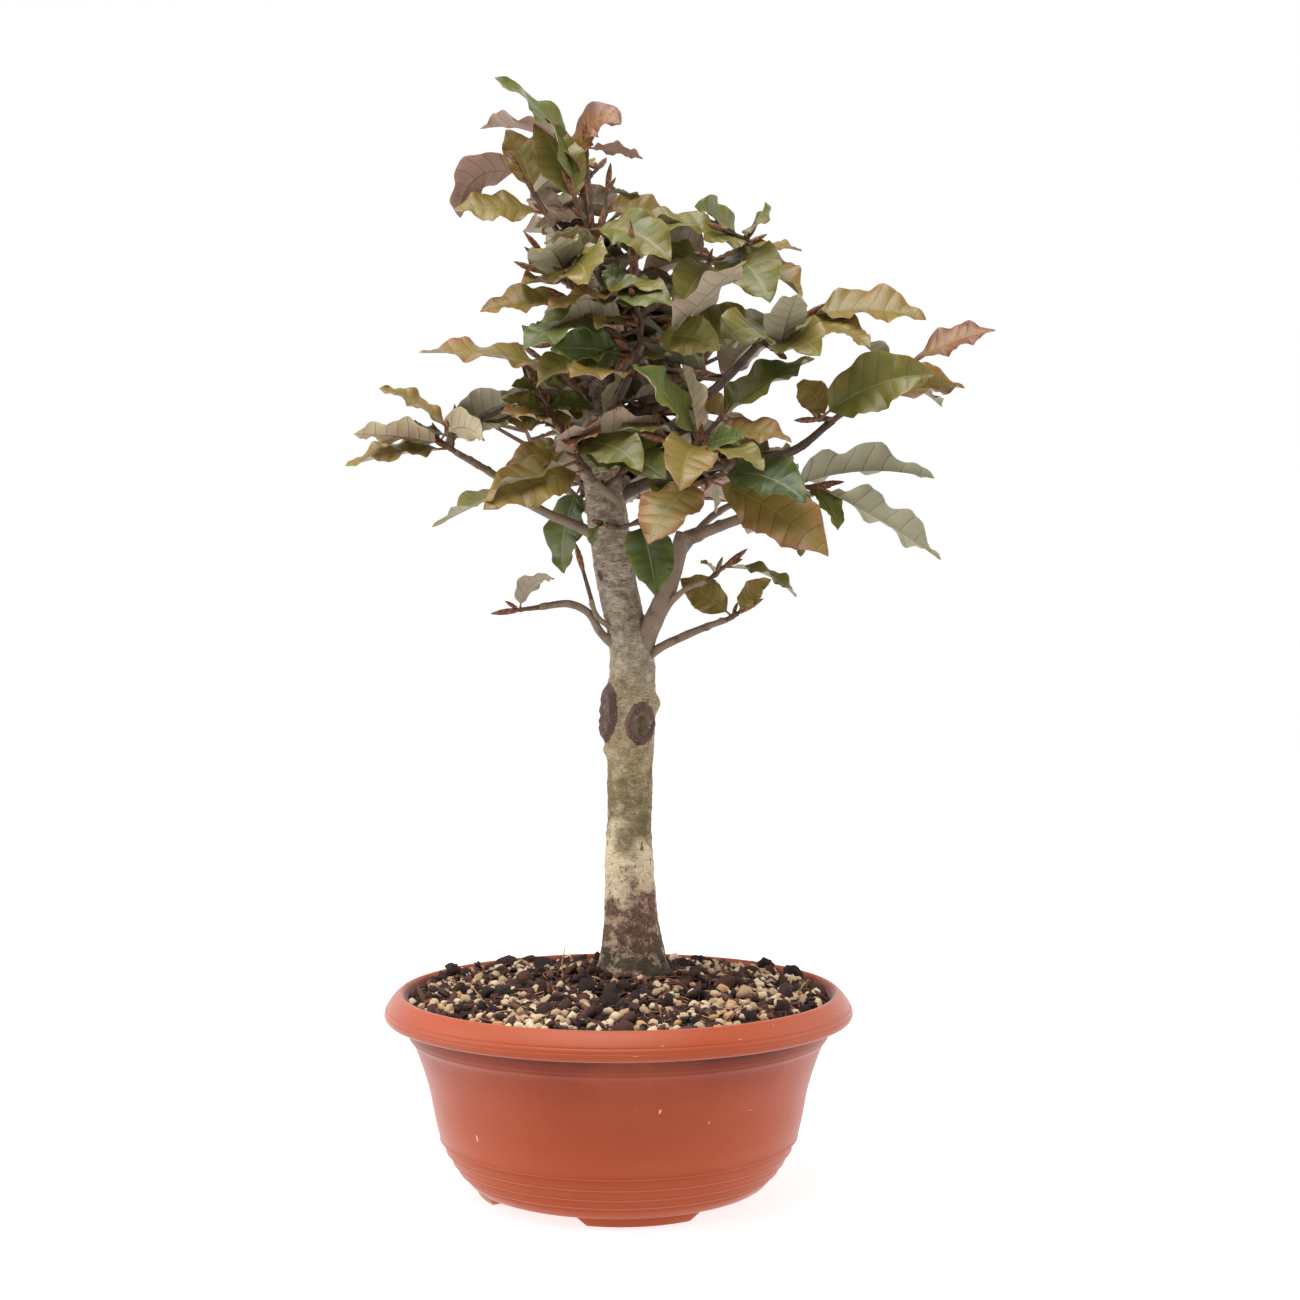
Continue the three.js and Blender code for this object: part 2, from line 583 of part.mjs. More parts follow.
// A twig as its own tube and the leaves and bud it carries, each a solid that may be swelled on all sides.
function makeTwig(base, [heading, rise, length, radius], leaves, seed) {
    const along = direction(heading, rise);
    const tip = base.clone().addScaledVector(along, length);
    const grown = !Array.isArray(leaves);
    const list = grown ? grownLeaves(heading, rise, leaves, seed) : leaves;
    const spacing = Math.min(length / Math.max(list.length, 1), LEAF_SPACING);
    const parts = [];
    list.forEach((leaf, i) => {
        const leafBase = tip.clone().addScaledVector(along, -(list.length - 1 - i) * spacing);
        if (!grown || inCrown(leafBase, leaf)) {
            parts.push((extra) => leafSolid(leafBase, leaf, extra));
        }
    });
    parts.push((extra) => budSolid(tip.clone().addScaledVector(along, -BUD_SINK), along, BUD_LENGTH + extra));
    const wood = (extra) => solid(tube([base, tip], [radius + extra, SHOOT_TIP_RADIUS + extra], SHOOT_SIDES));
    return { wood, parts };
}

// The stem of a mass and its shoots, in the order in which they are fused.
function massTwigs(index, start, [, , stem, stemLeaves, stemShoots]) {
    const [heading, rise, length] = stem;
    const along = direction(heading, rise);
    const grown = !Array.isArray(stemShoots);
    const shoots = grown ? grownShoots(heading, rise, stemShoots, 1000 * index + 3) : stemShoots;
    const twigs = [makeTwig(start, stem, stemLeaves, 1000 * index + 7)];
    shoots.forEach(([place, shootHeading, shootRise, shootLength, leaves], k) => {
        const base = start.clone().addScaledVector(along, place * length);
        const shoot = [shootHeading, shootRise, shootLength, SHOOT_RADIUS];
        twigs.push(makeTwig(base, shoot, leaves, 1000 * index + 17 * k + 101));
    });
    return twigs;
}

// ---- assembly ----
const model = new THREE.Group();
const standing = {};

function place(name, body, material) {
    model.add(meshOf(name, body, material));
    standing[name] = body;
}

function touches(piece, bodies) {
    const box = piece.boundingBox();
    return bodies.some((body) => {
        const other = body.boundingBox();
        const apart = [0, 1, 2].some((k) => box.max[k] < other.min[k] || box.min[k] > other.max[k]);
        return !apart && piece.intersect(body).volume() > 0;
    });
}

// The largest of the bodies that a cut leaves.
function largest(body) {
    return body.decompose().reduce((best, part) => (part.volume() > best.volume() ? part : best));
}

// A mass is fused from its stem outward. A shoot that would meet another part is left out with all it
// carries, and so is a leaf that would meet any part. The stem is cut clear of the limb it grows from.
function makeMass(index, start, mass) {
    const [limb] = mass;
    const all = Object.values(standing);
    const others = all.filter((body) => body !== standing[limb]);
    const [stem, ...shoots] = massTwigs(index, start, mass);
    const kept = [stem, ...shoots.filter((shoot) => !touches(shoot.wood(GAP), others))];
    let body = stem.wood(0);
    for (const twig of kept) {
        body = body.add(twig.wood(0));
        for (const part of twig.parts) {
            if (!touches(part(GAP), all)) {
                body = body.add(part(0));
            }
        }
    }
    return largest(body.subtract(clearances[limb]));
}

place("bowl", makeBowl(), plastic);
place("soil", makeSoil(), substrate);
place("trunk", makeTrunk(), bark);

const paths = {};
const clearances = { trunk: trunkTube(GAP) };
for (const [name, [parent, at, runs, radii]] of Object.entries(BOUGHS)) {
    const start = parent === "trunk" ? trunkPoint(at) : alongPath(paths[parent], at);
    paths[name] = smooth(walk(start, runs));
    clearances[name] = limbTube(paths[name], radii, GAP);
    place(name, limbTube(paths[name], radii, 0).subtract(clearances[parent]), bark);
}

Object.entries(MASSES).forEach(([name, mass], index) => {
    const [limb, at] = mass;
    const start = limb === "trunk" ? trunkPoint(at) : alongPath(paths[limb], at);
    place(name, makeMass(index, start, mass), foliage);
});

export default model;
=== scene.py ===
import math

import bpy
import numpy as np
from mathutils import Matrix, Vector


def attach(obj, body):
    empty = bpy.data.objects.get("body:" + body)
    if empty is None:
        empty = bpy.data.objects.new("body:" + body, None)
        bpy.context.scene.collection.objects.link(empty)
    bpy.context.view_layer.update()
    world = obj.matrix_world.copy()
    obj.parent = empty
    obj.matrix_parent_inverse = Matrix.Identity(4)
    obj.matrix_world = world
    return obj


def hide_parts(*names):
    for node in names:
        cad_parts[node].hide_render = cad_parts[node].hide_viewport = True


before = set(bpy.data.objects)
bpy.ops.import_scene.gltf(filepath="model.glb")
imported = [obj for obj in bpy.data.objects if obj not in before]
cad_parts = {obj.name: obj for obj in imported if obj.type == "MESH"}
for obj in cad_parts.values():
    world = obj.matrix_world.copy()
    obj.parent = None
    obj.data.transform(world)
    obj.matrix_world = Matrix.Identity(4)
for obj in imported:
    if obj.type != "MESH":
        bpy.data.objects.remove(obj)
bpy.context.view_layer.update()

bl_info = {
    "name": "Potted young copper beech",
    "version": (1, 0, 0),
    "blender": (4, 5, 0),
    "location": "View3D > Sidebar > Beech",
    "description": "A young copper beech with a pruned trunk in a round plastic bowl of dark substrate",
    "category": "Object",
}

MM = 0.001
BODY = "root"
# Points between two corners of a smooth curve, and on a whole bough.
CURVE_STEPS = 24
LIMB_STEPS = 60

# ---- the plant's own sizes, in millimetres, as in the solids ----
# Trunk from the soil to the pruned tip: x, y, height and radius.
TRUNK = [
    (8, 0, 130, 22.5), (8, 0, 136, 20.2), (8, 0, 147, 18.2), (7, 0, 164, 16), (6, 0, 202, 13.8),
    (6.5, 0, 244, 13.2), (7, 0, 280, 14.2), (8, 0, 316, 13.6), (1, 0, 350, 12.3), (-4, 0, 378, 12.3),
    (-8.5, 0, 412, 12), (-12, 1, 452, 10.6), (-11, 1, 484, 9), (-14, 0, 530, 6.8), (-20, -2, 546, 6.1),
    (-25, -4, 556, 5.6),
]

# Boughs: parent, place on it (a height on the trunk, or a share of a bough), runs of heading, rise and
# length, and the radius at the foot and at the tip.
BOUGHS = {
    "bough_low_right": ("trunk", 312, [(-30, 62, 26), (-20, 63, 26), (0, 75, 35)], (7.2, 4.6)),
    "bough_cut_right": ("bough_low_right", 0.94, [(0, 21, 49)], (3.4, 3.1)),
    "bough_right_low": ("bough_low_right", 0.84, [(37, 42, 40), (5, 22, 35)], (2.4, 1.8)),
    "bough_right_thin": ("trunk", 309, [(-20, 39, 22), (-10, 25, 28), (0, 19, 16)], (3.1, 1.9)),
    "bough_right_twig": ("bough_low_right", 0.36, [(-27, 42, 27), (-18, 20, 15)], (2.2, 1.5)),
    "bough_low_left": ("trunk", 316, [(-163, 40, 26), (-165, 56, 14), (-170, 25, 12), (180, -6, 18)], (3, 2)),
    "bough_spur_left": ("trunk", 330, [(-150, 31, 24), (-156, 68, 11)], (1.9, 1.4)),
    "bough_left": ("trunk", 387, [(175, 26, 56), (180, 40, 21), (178, 31, 32)], (3.4, 2)),
    "bough_front_left": ("trunk", 408, [(-64, 3, 16), (-165, 43, 19)], (2.7, 2.2)),
    "bough_front": ("trunk", 466, [(-53, 17, 20), (-29, 62, 17), (-16, 67, 17)], (3, 2.3)),
    "bough_right_mid": ("trunk", 412, [(0, 20, 54), (0, 10, 61), (4, 36, 33)], (4, 2.3)),
    "bough_middle": ("bough_right_mid", 0.37, [(-84, 10, 33)], (2.4, 2)),
    "bough_middle_low": ("bough_right_mid", 0.55, [(-105, -17, 35)], (2.3, 1.9)),
    "bough_right_upper": ("trunk", 455, [(4, 21, 44), (3, 13, 23), (2, 43, 43)], (4.1, 2.3)),
    "bough_top_right": ("trunk", 508, [(20, 34, 48), (22, 39, 34)], (3.1, 2.1)),
    "bough_back_left": ("trunk", 398, [(114, 20, 56), (130, 36, 50)], (3.6, 2.1)),
    "bough_back_right": ("trunk", 440, [(62, 24, 54), (48, 35, 54)], (3.6, 2.1)),
    "bough_back_low": ("trunk", 368, [(65, 25, 54), (75, 38, 42)], (3.6, 2.1)),
    "bough_back_top": ("trunk", 500, [(98, 31, 40), (85, 50, 36)], (2.9, 1.9)),
}

SHOOT_RADIUS = 1.5
SHOOT_TIP_RADIUS = 1.1
LEAF_SPACING = 14
BUD_LENGTH = 18
BUD_RADIUS = 1.7
BUD_SINK = 2
LEAF_LENGTH = 64
STALK_SHARE = 0.12

# A dealt-out leaf. A pair is the least and what is added at random: its turn off the twig, roll, curl and
# size. Its rise is a share of the twig's, with a lift at random and a drop.
GROWN_TURN = (30, 35)
GROWN_ROLL = (10, 30)
GROWN_CURL = (20, 40)
GROWN_RISE_SHARE = 0.5
GROWN_LIFT = 30
GROWN_DROP = 5
GROWN_SIZE = (0.78, 0.34)
# A dealt-out shoot in the same way. Its places are the first, and how far they spread along the stem.
SHOOT_TURN = (40, 35)
SHOOT_RISE_SHARE = 0.3
SHOOT_LIFT = 25
SHOOT_LENGTH = (26, 18)
SHOOT_PLACES = (0.25, 0.65)
SHOOT_LEAVES = 3

# Height, and how far to each side of the crown's leaning axis a grown leaf may reach there.
CROWN_REACH = [(370, 30), (400, 60), (440, 80), (480, 85), (520, 60), (560, 40), (600, 40), (650, 30)]
CROWN_AXIS_X = 25
CROWN_AXIS_Z = 450
CROWN_LEAN = -0.41
CROWN_DEPTH = 150

# A finer leaf grows only where this many of the masses' own leaves show, seen from the front, within this
# distance of it, so the gaps between the masses stay open. The shares are places along a leaf's midrib.
CORE_LEAVES = 2
CORE_NEAR = 16
MIDRIB_SHARES = (0.3, 0.5, 0.7, 0.9)
LEAF_MIDDLE = 0.55
# How far the finer leaves reach forward and back, and where the crown's face lies.
CORE_FRONT = -75
CORE_BACK = 125
FACE_Y = 4
# Heights between which leaves hide the trunk, and how far to its side they may.
TRUNK_HIDDEN = (432, 548)
TRUNK_COVER = 24
# Where the crown is seen from, by the camera and by the rule on finer leaves.
VIEW_X = 18.6
VIEW_Z = 322
VIEW_DISTANCE = 1150
# Finer twigs: their sides of a twig, how many on a limb, leaves on each, radius and seed. The pairs are the
# least and what is added at random, the last for those that stand on the trunk.
FINER_SIDES = (1, -1)
FINER_PER_LIMB = 5
FINER_LEAVES = 3
FINER_RADIUS = 1.2
FINER_SEED = 9100
FINER_RISE = (-8, 50)
FINER_LENGTH = (16, 20)
FINER_TURN = (40, 50)
FINER_ON_TWIG = (0.2, 0.7)
FINER_ON_LIMB = (0.35, 0.6)
FINER_BELOW = (-45, 60)
TRUNK_TIP_CLEAR = 8

# Masses of foliage: limb, place (a height on the trunk, or 1 for a bough's tip), stem as heading, rise,
# length and radius, the stem's leaves, and its shoots. A shoot is its place along the stem, heading,
# rise, length and leaves. A leaf is heading, rise, length, roll, curl and tint. A count in place of a
# list has that many shoots or leaves grown by the seeded rule.
MASSES = {
    "foliage_top": ("trunk", 534, (-24, 82, 27, 2.5), [(-165, 40, 26, 30, -60, "yellow")], [
        (1, -165, 65, 36, [(-145, 12, 34, 10, -50, "pale"), (-30, -2, 58, 45, -45, "grey"),
            (180, 12, 28, 15, -50, "bronze"), (165, 70, 56, -60, -15, "olive"),
            (-178, 82, 80, -18, -58, "grey")]),
        (0.8, 45, 80, 44, [(20, 22, 46, 55, -75, "mustard"), (50, 10, 32, 20, -40, "green")]),
        (0.55, 160, 85, 76, [(160, 64, 84, 0, -72, "mauve"), (-30, 118, 50, 65, -165, "mauve"),
            (12, -2, 32, -10, -12, "mauve")]),
        (0.3, 110, 70, 56, 3),
    ]),
    "foliage_top_left": ("trunk", 545, (165, 58, 76, 2.3), [
        (-160, 6, 52, -45, -16, "yellow"), (150, 74, 42, -60, -20, "mustard"),
        (-165, 15, 52, 45, -115, "mauve")], [
            (0.4, 105, 30, 30, 2),
        ]),
    "foliage_spur_top": ("trunk", 524, (-164, 24, 16, 1.5), [(-175, 2, 50, -45, -22, "yellow")], [
        (0.4, 170, 60, 19, [(-170, 25, 28, -20, -25, "olive")]),
    ]),
    "foliage_spur_mid": ("trunk", 464, (-130, 38, 34, 1.8), [
        (180, 10, 44, -20, -30, "olive"), (-170, 16, 80, -20, -22, "bronze")], []),
    "foliage_front": ("bough_front", 1, (-140, 84, 32, 2), [
        (-155, 10, 72, -25, -55, "grey"), (160, 60, 30, -60, -30, "green"),
        (55, 15, 22, 50, -60, "grey")], [
            (0.12, -40, -15, 20, [(-45, 5, 50, 60, -40, "olive"), (-46, 40, 68, 18, -20, "mustard")]),
            (0.05, -115, -35, 19, [(-150, -60, 50, 30, -5, "grey"), (-155, 10, 45, -80, -20, "green")]),
            (0.3, -155, -25, 13, [(-115, 25, 32, -30, -60, "bronze")]),
        ]),
    "foliage_top_right": ("bough_top_right", 1, (8, 28, 30, 1.8), [
        (-165, 18, 52, -50, -20, "grey"), (-120, -30, 56, -45, -20, "olive"),
        (-65, -10, 66, 32, -50, "grey"), (-35, -20, 56, 20, -25, "bronze"),
        (-15, 10, 38, 20, -30, "bronze"), (-130, 35, 46, -60, -35, "grey")], [
            (1, -70, 25, 9, [(-120, 5, 50, -40, -30, "olive"), (-75, 20, 40, 50, -40, "grey")]),
            (0.5, 85, 5, 33, 4),
        ]),
    "foliage_right_top": ("bough_right_upper", 1, (-14, 30, 31, 1.9), [
        (165, 25, 60, -55, -40, "olive"), (-125, 0, 62, -35, -22, "olive"), (-40, 0, 56, 25, -40, "pale"),
        (-10, 12, 68, 34, -32, "mustard")], [
            (0.15, -75, -20, 30, [(-65, 10, 56, 40, -50, "olive"), (-80, 40, 46, 10, -20, "olive")]),
            (0.6, 70, 10, 47, 4),
        ]),
    "foliage_right": ("bough_right_mid", 1, (12, 36, 62, 1.9), [
        (15, 22, 64, 40, -32, "bronze"), (35, 15, 50, 30, -50, "olive"), (-135, 34, 46, -20, -25, "olive"),
        (-15, 30, 48, 50, -25, "mauve")], [
            (0.02, -150, -5, 12, [(125, 60, 34, -60, -40, "pale"), (-25, 34, 68, 76, -40, "olive")]),
            (0.5, 70, 5, 48, 4),
        ]),
    "foliage_right_low": ("bough_right_low", 1, (-12, 6, 28, 1.7), [
        (-10, 20, 84, -16, -38, "grey"), (-70, -45, 42, 60, -60, "grey"), (-25, -25, 32, 30, -60, "grey"),
        (-20, -25, 80, -22, -14, "grey")], [
            (0.6, 75, 0, 43, 3),
        ]),
    "foliage_middle": ("bough_middle", 1, (-86, 26, 15, 1.9), [
        (-150, 35, 50, -20, -60, "olive"), (-20, 25, 52, 35, -55, "bronze"),
        (-140, 50, 58, -60, -25, "green"), (140, 78, 42, 60, -10, "pale")], [
            (0.6, -85, -15, 20, [(-105, -5, 58, -20, -50, "yellow"), (-45, 20, 30, 60, -30, "green"),
                (-45, 5, 44, 20, -50, "olive")]),
            (0.9, 35, 45, 16, [(15, 42, 66, 22, -20, "grey")]),
        ]),
    "foliage_middle_low": ("bough_middle_low", 1, (-128, -16, 21, 1.8), [
        (-35, 5, 58, 45, -50, "green"), (75, -50, 20, 60, -30, "yellow"),
        (-15, -20, 76, 60, -28, "bronze"), (-125, -20, 60, -15, -35, "bronze")], []),
    "foliage_front_spur": ("trunk", 394, (-60, 4, 37, 1.7), [(-75, -35, 50, 10, -45, "green")], [
        (0.3, -120, 5, 14, [(-120, -5, 20, 20, -90, "green")]),
    ]),
    "foliage_front_left": ("bough_front_left", 1, (-166, 56, 30, 2), [
        (-150, -10, 64, -50, -28, "yellow"), (-170, -21, 86, -4, -10, "olive"),
        (-175, -5, 38, -60, -30, "bronze"), (-35, -10, 68, 45, -28, "green")], [
            (1, -170, 60, 30, [(-145, 20, 38, -20, -25, "bronze"), (175, 25, 30, -40, -20, "olive"),
                (15, 12, 26, 60, -30, "grey"), (-150, 30, 18, -50, -50, "green")]),
        ]),
    "foliage_left": ("bough_left", 1, (174, 36, 12, 1.7), [
        (-165, -5, 58, -25, -12, "yellow"), (-150, 10, 52, 18, -14, "pale"),
        (-40, 35, 38, -60, -90, "pale")], [
            (0.3, -75, 70, 10, [(-15, 50, 47, -50, -45, "grey"), (-165, 20, 30, -20, -20, "green"),
                (-165, 44, 46, -26, -30, "mustard")]),
            (0.6, 95, 10, 43, 3),
        ]),
    "foliage_spur_side": ("trunk", 402, (138, 44, 30, 1.7), [(-178, -65, 50, -60, -35, "green")], []),
    "foliage_low_left": ("bough_low_left", 1, (-170, -8, 12, 1.6), [(-25, 80, 30, -20, -95, "mustard")], []),
    "twig_low_left": ("bough_spur_left", 1, (180, 74, 17, 1.3), [], []),
    "foliage_low_right": ("bough_right_thin", 1, (0, 30, 8, 1.6), [
        (150, 40, 38, -80, -20, "yellow"), (-20, 60, 26, 70, -40, "yellow")], []),
    "foliage_right_twig": ("bough_right_twig", 1, (-10, 38, 13, 1.4), [
        (-130, 50, 14, -30, -60, "grey"), (-15, 0, 44, 10, -50, "grey")], []),
    "foliage_back_left": ("bough_back_left", 1, (112, 40, 32, 1.9), 3, 3),
    "foliage_back_right": ("bough_back_right", 1, (50, 42, 34, 1.9), 3, 3),
    "foliage_back_low": ("bough_back_low", 1, (60, 35, 30, 1.9), 3, 3),
    "foliage_back_top": ("bough_back_top", 1, (70, 62, 34, 1.8), 3, 3),
}

# ---- leaf colours ----
# Each row runs from one end of a colour range to the other; a face takes the nearest plain shade.
UPPER_KEYS = [(64, 80, 32), (88, 98, 36), (110, 106, 40), (126, 112, 48), (138, 116, 52), (146, 113, 54),
              (148, 102, 58), (140, 90, 64), (126, 84, 70)]
UNDER_KEYS = [(152, 152, 120), (162, 156, 128), (168, 156, 134), (172, 146, 128), (176, 138, 124),
              (204, 188, 154)]
SHADES_PER_KEY = 3
# Tint: place on the upper range at the midrib and at the margin, and place on the under range.
TINTS = {
    "green": (0.3, 1.4, 0.3),
    "olive": (1.8, 3.2, 0.8),
    "yellow": (2.8, 4.6, 1.2),
    "mustard": (3.6, 5.4, 2.0),
    "bronze": (2.8, 6.4, 2.6),
    "grey": (1.2, 2.2, 0.8),
    "mauve": (5.4, 8.0, 3.2),
    "pale": (3.4, 4.8, 4.8),
}
GROWN_TINTS = ["green", "olive", "grey", "bronze", "mustard", "mauve", "olive", "yellow"]


# ---- small helpers ----
def linear(rgb):
    """A plain colour of the 0 to 255 kind as the linear values that a shader takes."""
    values = [channel / 255 for channel in rgb]
    return tuple(v / 12.92 if v <= 0.04045 else ((v + 0.055) / 1.055) ** 2.4 for v in values) + (1.0,)


def direction(heading, rise):
    """A unit vector from a heading in plan and a rise above level, both in degrees."""
    h = math.radians(heading)
    r = math.radians(rise)
    return np.array([math.cos(r) * math.cos(h), math.cos(r) * math.sin(h), math.sin(r)])


def random_source(seed):
    """The source's own row of numbers from 0 to 1."""
    state = seed

    def draw():
        nonlocal state
        state = (state * 1664525 + 1013904223) & 0xFFFFFFFF
        return state / 4294967296

    return draw


def unit(vectors):
    """Vectors at length 1, along the last axis."""
    length = np.linalg.norm(vectors, axis=-1, keepdims=True)
    return vectors / np.maximum(length, 1e-9)


def lattice(i, j, k, seed):
    """A fixed pseudo-random value from 0 to 1 at each whole-numbered place."""
    n = (i * 374761393 + j * 668265263 + k * 1440662683 + seed * 974711) & 0xFFFFFFFF
    n = ((n ^ (n >> 13)) * 1274126177) & 0xFFFFFFFF
    return ((n ^ (n >> 16)) & 0xFFFFFF) / 0xFFFFFF


def noise(points, size, seed):
    """Smooth noise from -1 to 1 whose lumps are about size wide."""
    scaled = np.asarray(points) / size + 500
    low = np.floor(scaled).astype(np.int64)
    share = scaled - low
    share = share * share * (3 - 2 * share)
    total = 0
    for di in (0, 1):
        for dj in (0, 1):
            for dk in (0, 1):
                weight = np.abs(1 - di - share[..., 0]) * np.abs(1 - dj - share[..., 1])
                weight = weight * np.abs(1 - dk - share[..., 2])
                total = total + weight * lattice(low[..., 0] + di, low[..., 1] + dj, low[..., 2] + dk, seed)
    return total * 2 - 1


# ---- meshes ----
class Parts:
    """Vertices and faces of many small shapes, gathered into one mesh."""

    def __init__(self):
        self.points = []
        self.faces = []
        self.slots = []
        self.count = 0

    def add(self, points, faces, slots):
        """Adds one shape: its points in millimetres, its faces of four, and a slot for each face."""
        self.points.append(np.asarray(points, float).reshape(-1, 3))
        self.faces.append(np.asarray(faces, np.int64).reshape(-1, 4) + self.count)
        self.slots.append(np.broadcast_to(np.asarray(slots), (len(self.faces[-1]),)))
        self.count += len(self.points[-1])

    def build(self, name, materials):
        """Makes the object. A face whose last two corners are one is a triangle."""
        points = np.concatenate(self.points) * MM
        faces = np.concatenate(self.faces)
        slots = np.concatenate(self.slots)
        keep = np.ones(faces.shape, bool)
        for corner in range(4):
            keep[:, corner] = faces[:, corner] != faces[:, corner - 1]
        totals = keep.sum(1)
        whole = totals > 2
        mesh = bpy.data.meshes.new(name)
        mesh.vertices.add(len(points))
        mesh.vertices.foreach_set("co", points.ravel())
        loops = faces[whole][keep[whole]]
        mesh.loops.add(len(loops))
        mesh.loops.foreach_set("vertex_index", loops.astype(np.int32))
        starts = np.concatenate([[0], np.cumsum(totals[whole])[:-1]])
        mesh.polygons.add(int(whole.sum()))
        mesh.polygons.foreach_set("loop_start", starts.astype(np.int32))
        mesh.polygons.foreach_set("loop_total", totals[whole].astype(np.int32))
        mesh.polygons.foreach_set("material_index", slots[whole].astype(np.int32))
        mesh.polygons.foreach_set("use_smooth", np.ones(int(whole.sum()), bool))
        mesh.update(calc_edges=True)
        mesh.validate()
        for material in materials:
            mesh.materials.append(material)
        piece = bpy.data.objects.new(name, mesh)
        bpy.context.scene.collection.objects.link(piece)
        return piece


def grid_faces(rows, columns, wrap=False):
    """Faces of a grid of points, row by row, closed round each row where it wraps."""
    index = np.arange(rows * columns).reshape(rows, columns)
    if wrap:
        index = np.concatenate([index, index[:, :1]], axis=1)
    a = index[:-1, :-1]
    b = index[:-1, 1:]
    return np.stack([a, b, index[1:, 1:], index[1:, :-1]], -1).reshape(-1, 4)


def frames_along(path):
    """Two unit vectors across a path at each of its points, turned as little as can be."""
    tangents = unit(np.gradient(path, axis=0))
    across = np.array([0.0, 1.0, 0.0])
    first = []
    for tangent in tangents:
        across = across - tangent * across.dot(tangent)
        across = across / np.linalg.norm(across)
        first.append(across)
    first = np.array(first)
    return first, np.cross(tangents, first)


def tube_points(path, radii, sides):
    """Rings of points round a path, with a closed point at each end."""
    first, second = frames_along(path)
    angles = np.linspace(0, 2 * math.pi, sides, endpoint=False)
    radii = np.asarray(radii, float)
    radii = np.broadcast_to(radii[:, None] if radii.ndim == 1 else radii, (len(path), sides))
    rings = path[:, None] + radii[..., None] * (
        np.cos(angles)[None, :, None] * first[:, None] + np.sin(angles)[None, :, None] * second[:, None])
    ends = np.stack([np.repeat(path[:1], sides, 0), np.repeat(path[-1:], sides, 0)])
    return np.concatenate([ends[:1], rings, ends[1:]])


def add_tube(parts, path, radii, sides, slot):
    """Adds a closed tube along a path."""
    points = tube_points(np.asarray(path, float), radii, sides)
    parts.add(points, grid_faces(len(points), sides, wrap=True), slot)


def finish_piece(piece, replaced=()):
    """Puts a piece on its body, and hides the solids that it stands for."""
    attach(piece, BODY)
    if replaced:
        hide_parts(*replaced)


# ---- the source's growth rule ----
def trunk_point(z):
    """The trunk's middle at a height."""
    table = np.array(TRUNK, float)
    return np.array([np.interp(z, table[:, 2], table[:, k]) for k in (0, 1, 2)])


def trunk_radius(z):
    """The trunk's radius at a height."""
    table = np.array(TRUNK, float)
    return np.interp(z, table[:, 2], table[:, 3])


def walk(start, runs):
    """Corners of a limb from its runs."""
    points = [start]
    for heading, rise, length in runs:
        points.append(points[-1] + direction(heading, rise) * length)
    return np.array(points)


def distances(path):
    """How far along a path each of its points lies."""
    return np.concatenate([[0], np.cumsum(np.linalg.norm(np.diff(path, axis=0), axis=1))])


def even_path(path, steps):
    """A path drawn again with another number of even steps."""
    along = distances(path)
    places = np.linspace(0, along[-1], steps)
    return np.stack([np.interp(places, along, path[:, k]) for k in range(3)], 1)


def smooth_path(points, steps):
    """An even path of the given number of points through a limb's corners."""
    if len(points) < 3:
        share = np.linspace(0, 1, steps)[:, None]
        return points[0] * (1 - share) + points[-1] * share
    padded = np.concatenate([[2 * points[0] - points[1]], points, [2 * points[-1] - points[-2]]])
    knots = [0.0]
    for a, b in zip(padded, padded[1:]):
        knots.append(knots[-1] + math.sqrt(np.linalg.norm(b - a)))
    fine = []
    for k in range(1, len(padded) - 2):
        t = np.linspace(knots[k], knots[k + 1], CURVE_STEPS, endpoint=k == len(padded) - 3)[:, None]
        near = [blend_knots(padded[k - 1 + i], padded[k + i], knots, k - 1 + i, k + i, t) for i in range(3)]
        inner = [blend_knots(near[i], near[i + 1], knots, k - 1 + i, k + 1 + i, t) for i in range(2)]
        fine.append(blend_knots(inner[0], inner[1], knots, k, k + 1, t))
    return even_path(np.concatenate(fine), steps)


def blend_knots(low, high, knots, a, b, t):
    """A mix of two values by the place of t between two knots."""
    span = knots[b] - knots[a]
    return ((knots[b] - t) * low + (t - knots[a]) * high) / span


def limb_paths():
    """Every bough's path, by name."""
    paths = {}
    for name, (parent, place, runs, _) in BOUGHS.items():
        if parent == "trunk":
            start = trunk_point(place)
        else:
            path = paths[parent]
            along = distances(path)
            start = np.array([np.interp(place * along[-1], along, path[:, k]) for k in range(3)])
        paths[name] = smooth_path(walk(start, runs), LIMB_STEPS)
    return paths


def dealt(draw, span):
    """The least of a span and a random part of what it adds."""
    least, more = span
    return least + more * draw()


def grown_leaves(heading, rise, count, seed):
    """Leaves on alternate sides of a shoot, each with its own turn, length, roll and curl."""
    draw = random_source(seed)
    pick = random_source(seed + 5)
    leaves = []
    for i in range(count):
        side = 1 if i % 2 == 0 else -1
        leaf_heading = heading + side * dealt(draw, GROWN_TURN)
        leaf_rise = rise * GROWN_RISE_SHARE + GROWN_LIFT * draw() - GROWN_DROP
        length = LEAF_LENGTH * dealt(draw, GROWN_SIZE)
        roll = side * dealt(draw, GROWN_ROLL)
        curl = -dealt(draw, GROWN_CURL)
        tint = GROWN_TINTS[int(pick() * len(GROWN_TINTS))]
        leaves.append((leaf_heading, leaf_rise, length, roll, curl, tint))
    return leaves


